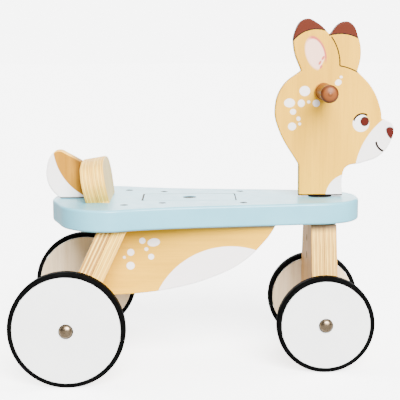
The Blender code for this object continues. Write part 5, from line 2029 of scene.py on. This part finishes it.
def make_head():
    """The deer's head and neck in one fawn board."""
    foot = SEAT_TOP + STEER_GAP
    outline = [(WHEELBASE - NECK_HALF_WIDTH, foot, "corner")]
    outline += [(WHEELBASE + x, foot + y, kind) for x, y, kind in HEAD_OUTLINE]
    outline.append((WHEELBASE + NECK_HALF_WIDTH, foot, "corner"))
    place = upright(0.0)
    head = lay(saw_board("deer_head", outline, BOARD, HEAD_ROUND), place)
    pin = neck_pin_place()
    cut(head, bore_along(pin, -NECK_PIN_LENGTH - GAP, NECK_PIN_RADIUS))
    dress_board(
        head, place, BOARD, HEAD_ROUND,
        ply_face("fawn_veneer_head", place, FAWN, marks=head_marks),
        ply_edge("head_edge", place, marks=rim_marks),
    )
    fit(head, "steering", "fawn_plywood", "head_board")


def belly_rear(drop):
    """Station of the rear leg's front face at a drop below the seat, less the fit."""
    station = climbed(0.0, REAR_RADIUS, REAR_LEAN, SEAT_TOP - SEAT_THICKNESS - drop)
    return station + (BOARD + 1.5 * GAP) / math.cos(REAR_LEAN)


def box_boards(clearance):
    """Outlines of the compartment's floor and sloping front, grown by a clearance."""
    bottom = SEAT_TOP - SEAT_THICKNESS
    head = GAP - clearance
    foot = FLOOR_DEPTH - FLOOR_THICKNESS - GAP + clearance
    slope = math.hypot(FRONT_BOARD_RUN, foot - head) / (foot - head)
    thick = FLOOR_THICKNESS * slope + 2.0 * clearance
    front = FLOOR_FRONT + clearance
    sloping = [
        (front - thick, foot), (front, foot),
        (front + FRONT_BOARD_RUN, head), (front + FRONT_BOARD_RUN - thick, head),
    ]
    low, high = FLOOR_DEPTH + clearance, FLOOR_DEPTH - FLOOR_THICKNESS - clearance
    floor = [
        (belly_rear(low) - clearance, low), (front, low),
        (front, high), (belly_rear(high) - clearance, high),
    ]
    return [[(x, bottom - drop, "corner") for x, drop in outline] for outline in (floor, sloping)]


def make_belly():
    """Two fawn belly panels with the compartment's floor and sloping front let into them."""
    bottom = SEAT_TOP - SEAT_THICKNESS
    grooved = 2.0 * (BELLY_HALF_SPAN - BOARD / 2.0 + GROOVE_DEPTH)
    outline = [(belly_rear(GAP), bottom - GAP, "corner"), (BELLY_NOSE, bottom - GAP, "corner")]
    outline += [(x, bottom - drop, kind) for x, drop, kind in BELLY_UNDERSIDE]
    outline.append((belly_rear(BELLY_DEPTH), bottom - BELLY_DEPTH, "corner"))
    for label, side in SIDES:
        place = upright(side * BELLY_HALF_SPAN)
        panel = saw_board("belly_cheek" + label, outline, BOARD, BOARD_ROUND, rims=(-side,))
        lay(panel, place)
        for groove in box_boards(GAP):
            cut(panel, lay(saw_board("groove", groove, grooved), upright(0.0)))
        for name, nut in belly_nut_places():
            if name.endswith(label):
                cut(panel, bore_along(nut, -BELLY_NUT_LENGTH / 2.0 - GAP, NUT_RADIUS))
        dress_board(
            panel, place, BOARD, BOARD_ROUND,
            ply_face("fawn_veneer_belly" + label, place, FAWN, False, belly_marks),
            ply_edge("belly_edge" + label, place),
        )
        fit(panel, "seat_frame", "fawn_plywood", "belly_panel" + label)
    flat = spot(0.0, 0.0, 0.0)
    for name, outline in zip(("belly_floor", "belly_front_board"), box_boards(0.0)):
        board = lay(saw_board("birch_" + name, outline, grooved - 2.0 * GAP), upright(0.0))
        for _, side in SIDES:
            round_edges(board, LID_ROUND, 2, at_side(side * (grooved / 2.0 - GAP)))
        dress(board, ply_face(name + "_veneer", flat, CLEAR, upright_grain=False))
        fit(board, "seat_frame", "birch_plywood", name)


def make_tail():
    """The backrest's two boards and the tail board glued behind them."""
    under = BACKREST_BOARD * math.tan(abs(BACKREST_LEAN)) + CUT_OVER
    half = [
        (0.0, -under, "corner"), (BACKREST_HALF_WIDTH, -under, "corner"),
        (BACKREST_HALF_WIDTH, 0.0, "corner"), *BACKREST_OUTLINE, (0.0, BACKREST_HEIGHT, "smooth"),
    ]
    names = ("backrest_ply_front", "backrest_ply_rear")
    nodes = ("backrest_front_board", "backrest_rear_board")
    place = leaning(BACKREST_STATION, SEAT_TOP, BACKREST_LEAN)
    pair = glued_pair(names, both_sides(half), BACKREST_BOARD, place)
    for (board, place), node in zip(pair, nodes):
        trim(board, SEAT_TOP + GAP, 1)
        dress_board(
            board, place, BACKREST_BOARD, GAP, ply_face(node + "_veneer", place, CLEAR),
            ply_edge(node + "_edge", place, BACKREST_BOARD, PALE_PLY),
        )
        fit(board, "seat_frame", "birch_plywood", node)
    rear_face = BACKREST_STATION - (BACKREST_BOARD + 1.5 * GAP) / math.cos(BACKREST_LEAN)
    level = SEAT_TOP + GAP
    high = level + TAIL_FRONT_HEIGHT
    foot = climbed(rear_face, SEAT_TOP, BACKREST_LEAN, level)
    top = climbed(rear_face, SEAT_TOP, BACKREST_LEAN, high)
    outline = [(-TAIL_FOOT, level, "corner"), (foot, level, "corner"), (top, high, "corner")]
    outline += [(x, level + y, kind) for x, y, kind in TAIL_OUTLINE]
    place = upright(0.0)
    tail = lay(saw_board("deer_tail", outline, BOARD, TAIL_ROUND), place)
    dress_board(
        tail, place, BOARD, GAP,
        ply_face("tan_veneer_tail", place, TAN, marks=tail_marks),
        ply_edge("tail_edge", place, colours=PALE_PLY, marks=tail_marks),
    )
    fit(tail, "seat_frame", "tan_plywood", "tail_board")


def make_grips():
    """Two turned beech pegs: a collar and a groove at the foot, a waist, and a domed end
    with the small nub that the lathe's centre leaves."""
    profile = [(0.0, GRIP_LENGTH), (1.0, GRIP_LENGTH - 0.1), (2.0, GRIP_LENGTH - NUB_HEIGHT)]
    steps = 3 * RIM_STEPS
    for step in range(2, steps + 1):
        angle = math.pi / 2.0 * (1.0 - step / steps)
        drop = NUB_HEIGHT + (GRIP_DOME - NUB_HEIGHT) * (1.0 - math.sin(angle))
        height = GRIP_LENGTH - drop
        profile.append((GRIP_RADIUS * math.cos(angle), height))
    profile += GRIP_SHAFT
    first = turn_piece("grip", profile, 2 * SMALL_SIDES)
    level = SEAT_TOP + STEER_GAP + HANDLE_HEIGHT
    for label, side in SIDES:
        foot = side * (BOARD / 2.0 + GAP)
        place = sideways(WHEELBASE + HANDLE_FORWARD, foot, level, side)
        grip = lay_copy(first, "beech_grip" + label, place)
        dress(grip, BEECH)
        fit(grip, "steering", "beech", "grip" + label)
    bpy.data.objects.remove(first, do_unlink=True)


def wheel_disc(name, rim):
    """A disc bored for its bush, with eased rims."""
    half = WHEEL_WIDTH / 2.0
    bore = BUSH_RADIUS + GAP
    ease = 0.5
    # Each point of the sanded rim: how far in from the rim and how far in from the face
    sanded = ((1.2, 0.0), (0.4, 0.3), (0.0, 1.1))
    return turn_piece(name, [
        (bore + ease, half),
        *[(rim - inward, half - down) for inward, down in sanded],
        *[(rim - inward, down - half) for inward, down in reversed(sanded)],
        (bore + ease, -half), (bore, ease - half), (bore, half - ease),
    ], WHEEL_SIDES)


def rubber_band(name, radius, seat):
    """A tyre with rounded shoulders."""
    shoulder = []
    for step in range(RIM_STEPS + 3):
        angle = math.pi / 2.0 * step / (RIM_STEPS + 2)
        drop = TYRE_SHOULDER * (1.0 - math.sin(angle))
        shoulder.append((radius - drop, TYRE_HALF - TYRE_SHOULDER * (1.0 - math.cos(angle))))
    tread = shoulder + [(reach, -height) for reach, height in reversed(shoulder)]
    ease = 0.5
    return turn_piece(name, tread + [
        (seat + ease, -TYRE_HALF), (seat, ease - TYRE_HALF),
        (seat, TYRE_HALF - ease), (seat + ease, TYRE_HALF),
    ], WHEEL_SIDES)


def hub_cap():
    """A pressed cap: a rolled lip, a fine groove and a dome, with a bore for the axle's end."""
    bore = AXLE_RADIUS + GAP
    dome, foot = CAP_RADIUS - 1.1, 1.0
    # Each point of the rolled lip: how far in from its rim, and its height
    lip = ((0.3, 0.0), (0.0, 0.3), (0.0, 0.9), (0.3, 1.3), (0.8, 1.3))
    profile = [(bore, 0.0), *[(CAP_RADIUS - inward, height) for inward, height in lip], (dome, foot)]
    steps = 3 * RIM_STEPS
    for step in range(1, steps + 1):
        angle = math.pi / 2.0 * step / steps
        profile.append((dome * math.cos(angle), foot + (CAP_HEIGHT - foot) * math.sin(angle)))
    profile += [(0.0, CAP_GRIP), (bore, CAP_GRIP)]
    return turn_piece("hub_cap", profile)


def make_wheels():
    """Discs painted on their outer faces, rubber tyres, washers and domed caps."""
    cap = hub_cap()
    ease = 0.4
    half = WASHER_THICKNESS / 2.0
    # Each disc is left bare on its inner face, and each cap is darker up to its lip
    bare_below = (0.4 - WHEEL_WIDTH / 2.0) * MM
    dull_below = 1.4 * MM
    washer = turn_piece("washer", [
        (AXLE_RADIUS + GAP, half), (WASHER_RADIUS - ease, half), (WASHER_RADIUS, half - ease),
        (WASHER_RADIUS, ease - half), (WASHER_RADIUS - ease, -half), (AXLE_RADIUS + GAP, -half),
    ])
    for label, station, radius, foot_half, body in (
        ("rear", 0.0, REAR_RADIUS, REAR_HALF_WIDTHS[0], "seat_frame"),
        ("front", WHEELBASE, FRONT_RADIUS, FRONT_HALF_WIDTHS[0], "steering"),
    ):
        seat = radius - TYRE_THICKNESS
        disc = wheel_disc(label + "_disc", seat - GAP)
        tyre = rubber_band(label + "_band", radius, seat)
        inner = foot_half + RUN + WASHER_THICKNESS + RUN
        for side_label, side in SIDES:
            hub = label + side_label + "_wheel"
            place = sideways(station, side * (inner + WHEEL_WIDTH / 2.0), radius, side)
            here = lay_copy(disc, label + "_painted_disc" + side_label, place)
            bare_wood_and_gap_shade = ply_face(label + "_bare_disc" + side_label, place, BARE)
            home = place.inverted()
            dress(
                here, WHITE_PAINT, bare_wood_and_gap_shade,
                choose=lambda face: int((home @ face.center).z < bare_below),
            )
            fit(here, hub, "white_paint", label + "_wheel" + side_label)
            here = lay_copy(tyre, label + "_rubber_band" + side_label, place)
            dress(here, RUBBER)
            fit(here, hub, "tyre_rubber", label + "_tyre" + side_label)
            place = sideways(station, side * (foot_half + RUN + half), radius, side)
            here = lay_copy(washer, label + "_nylon_washer" + side_label, place)
            dress(here, NYLON)
            fit(here, body, "nylon", label + "_washer" + side_label)
            place = sideways(station, side * (inner + WHEEL_WIDTH + RUN), radius, side)
            here = lay_copy(cap, label + "_domed_cap" + side_label, place)
            home = place.inverted()
            dress(
                here, NICKEL, DULL_NICKEL,
                choose=lambda face: int((home @ face.center).z < dull_below),
            )
            fit(here, body, "steel", label + "_hub_cap" + side_label)
        for spare in (disc, tyre):
            bpy.data.objects.remove(spare, do_unlink=True)
    for spare in (cap, washer):
        bpy.data.objects.remove(spare, do_unlink=True)


def dress_cad_nodes():
    """Finishes for the CAD nodes that still show."""
    # Among these only the grips' beech rod has the plywood's slot
    finishes = {"steel": BRIGHT_STEEL, "nylon": NYLON, "birch_plywood": BEECH}
    slots = {part["node"]: part["material_slot"] for part in frame["record"]["subparts"]}
    for node, piece in frame["nodes"].items():
        finish = finishes.get(slots.get(node))
        if finish:
            piece.data.materials.clear()
            piece.data.materials.append(finish)


make_camera()
make_studio()
make_seat()
make_bolts()
make_nuts()
make_screws()
make_bushes()
make_neck_pin()
make_rear_leg()
make_front_leg()
make_head()
make_belly()
make_tail()
make_grips()
make_wheels()
dress_cad_nodes()
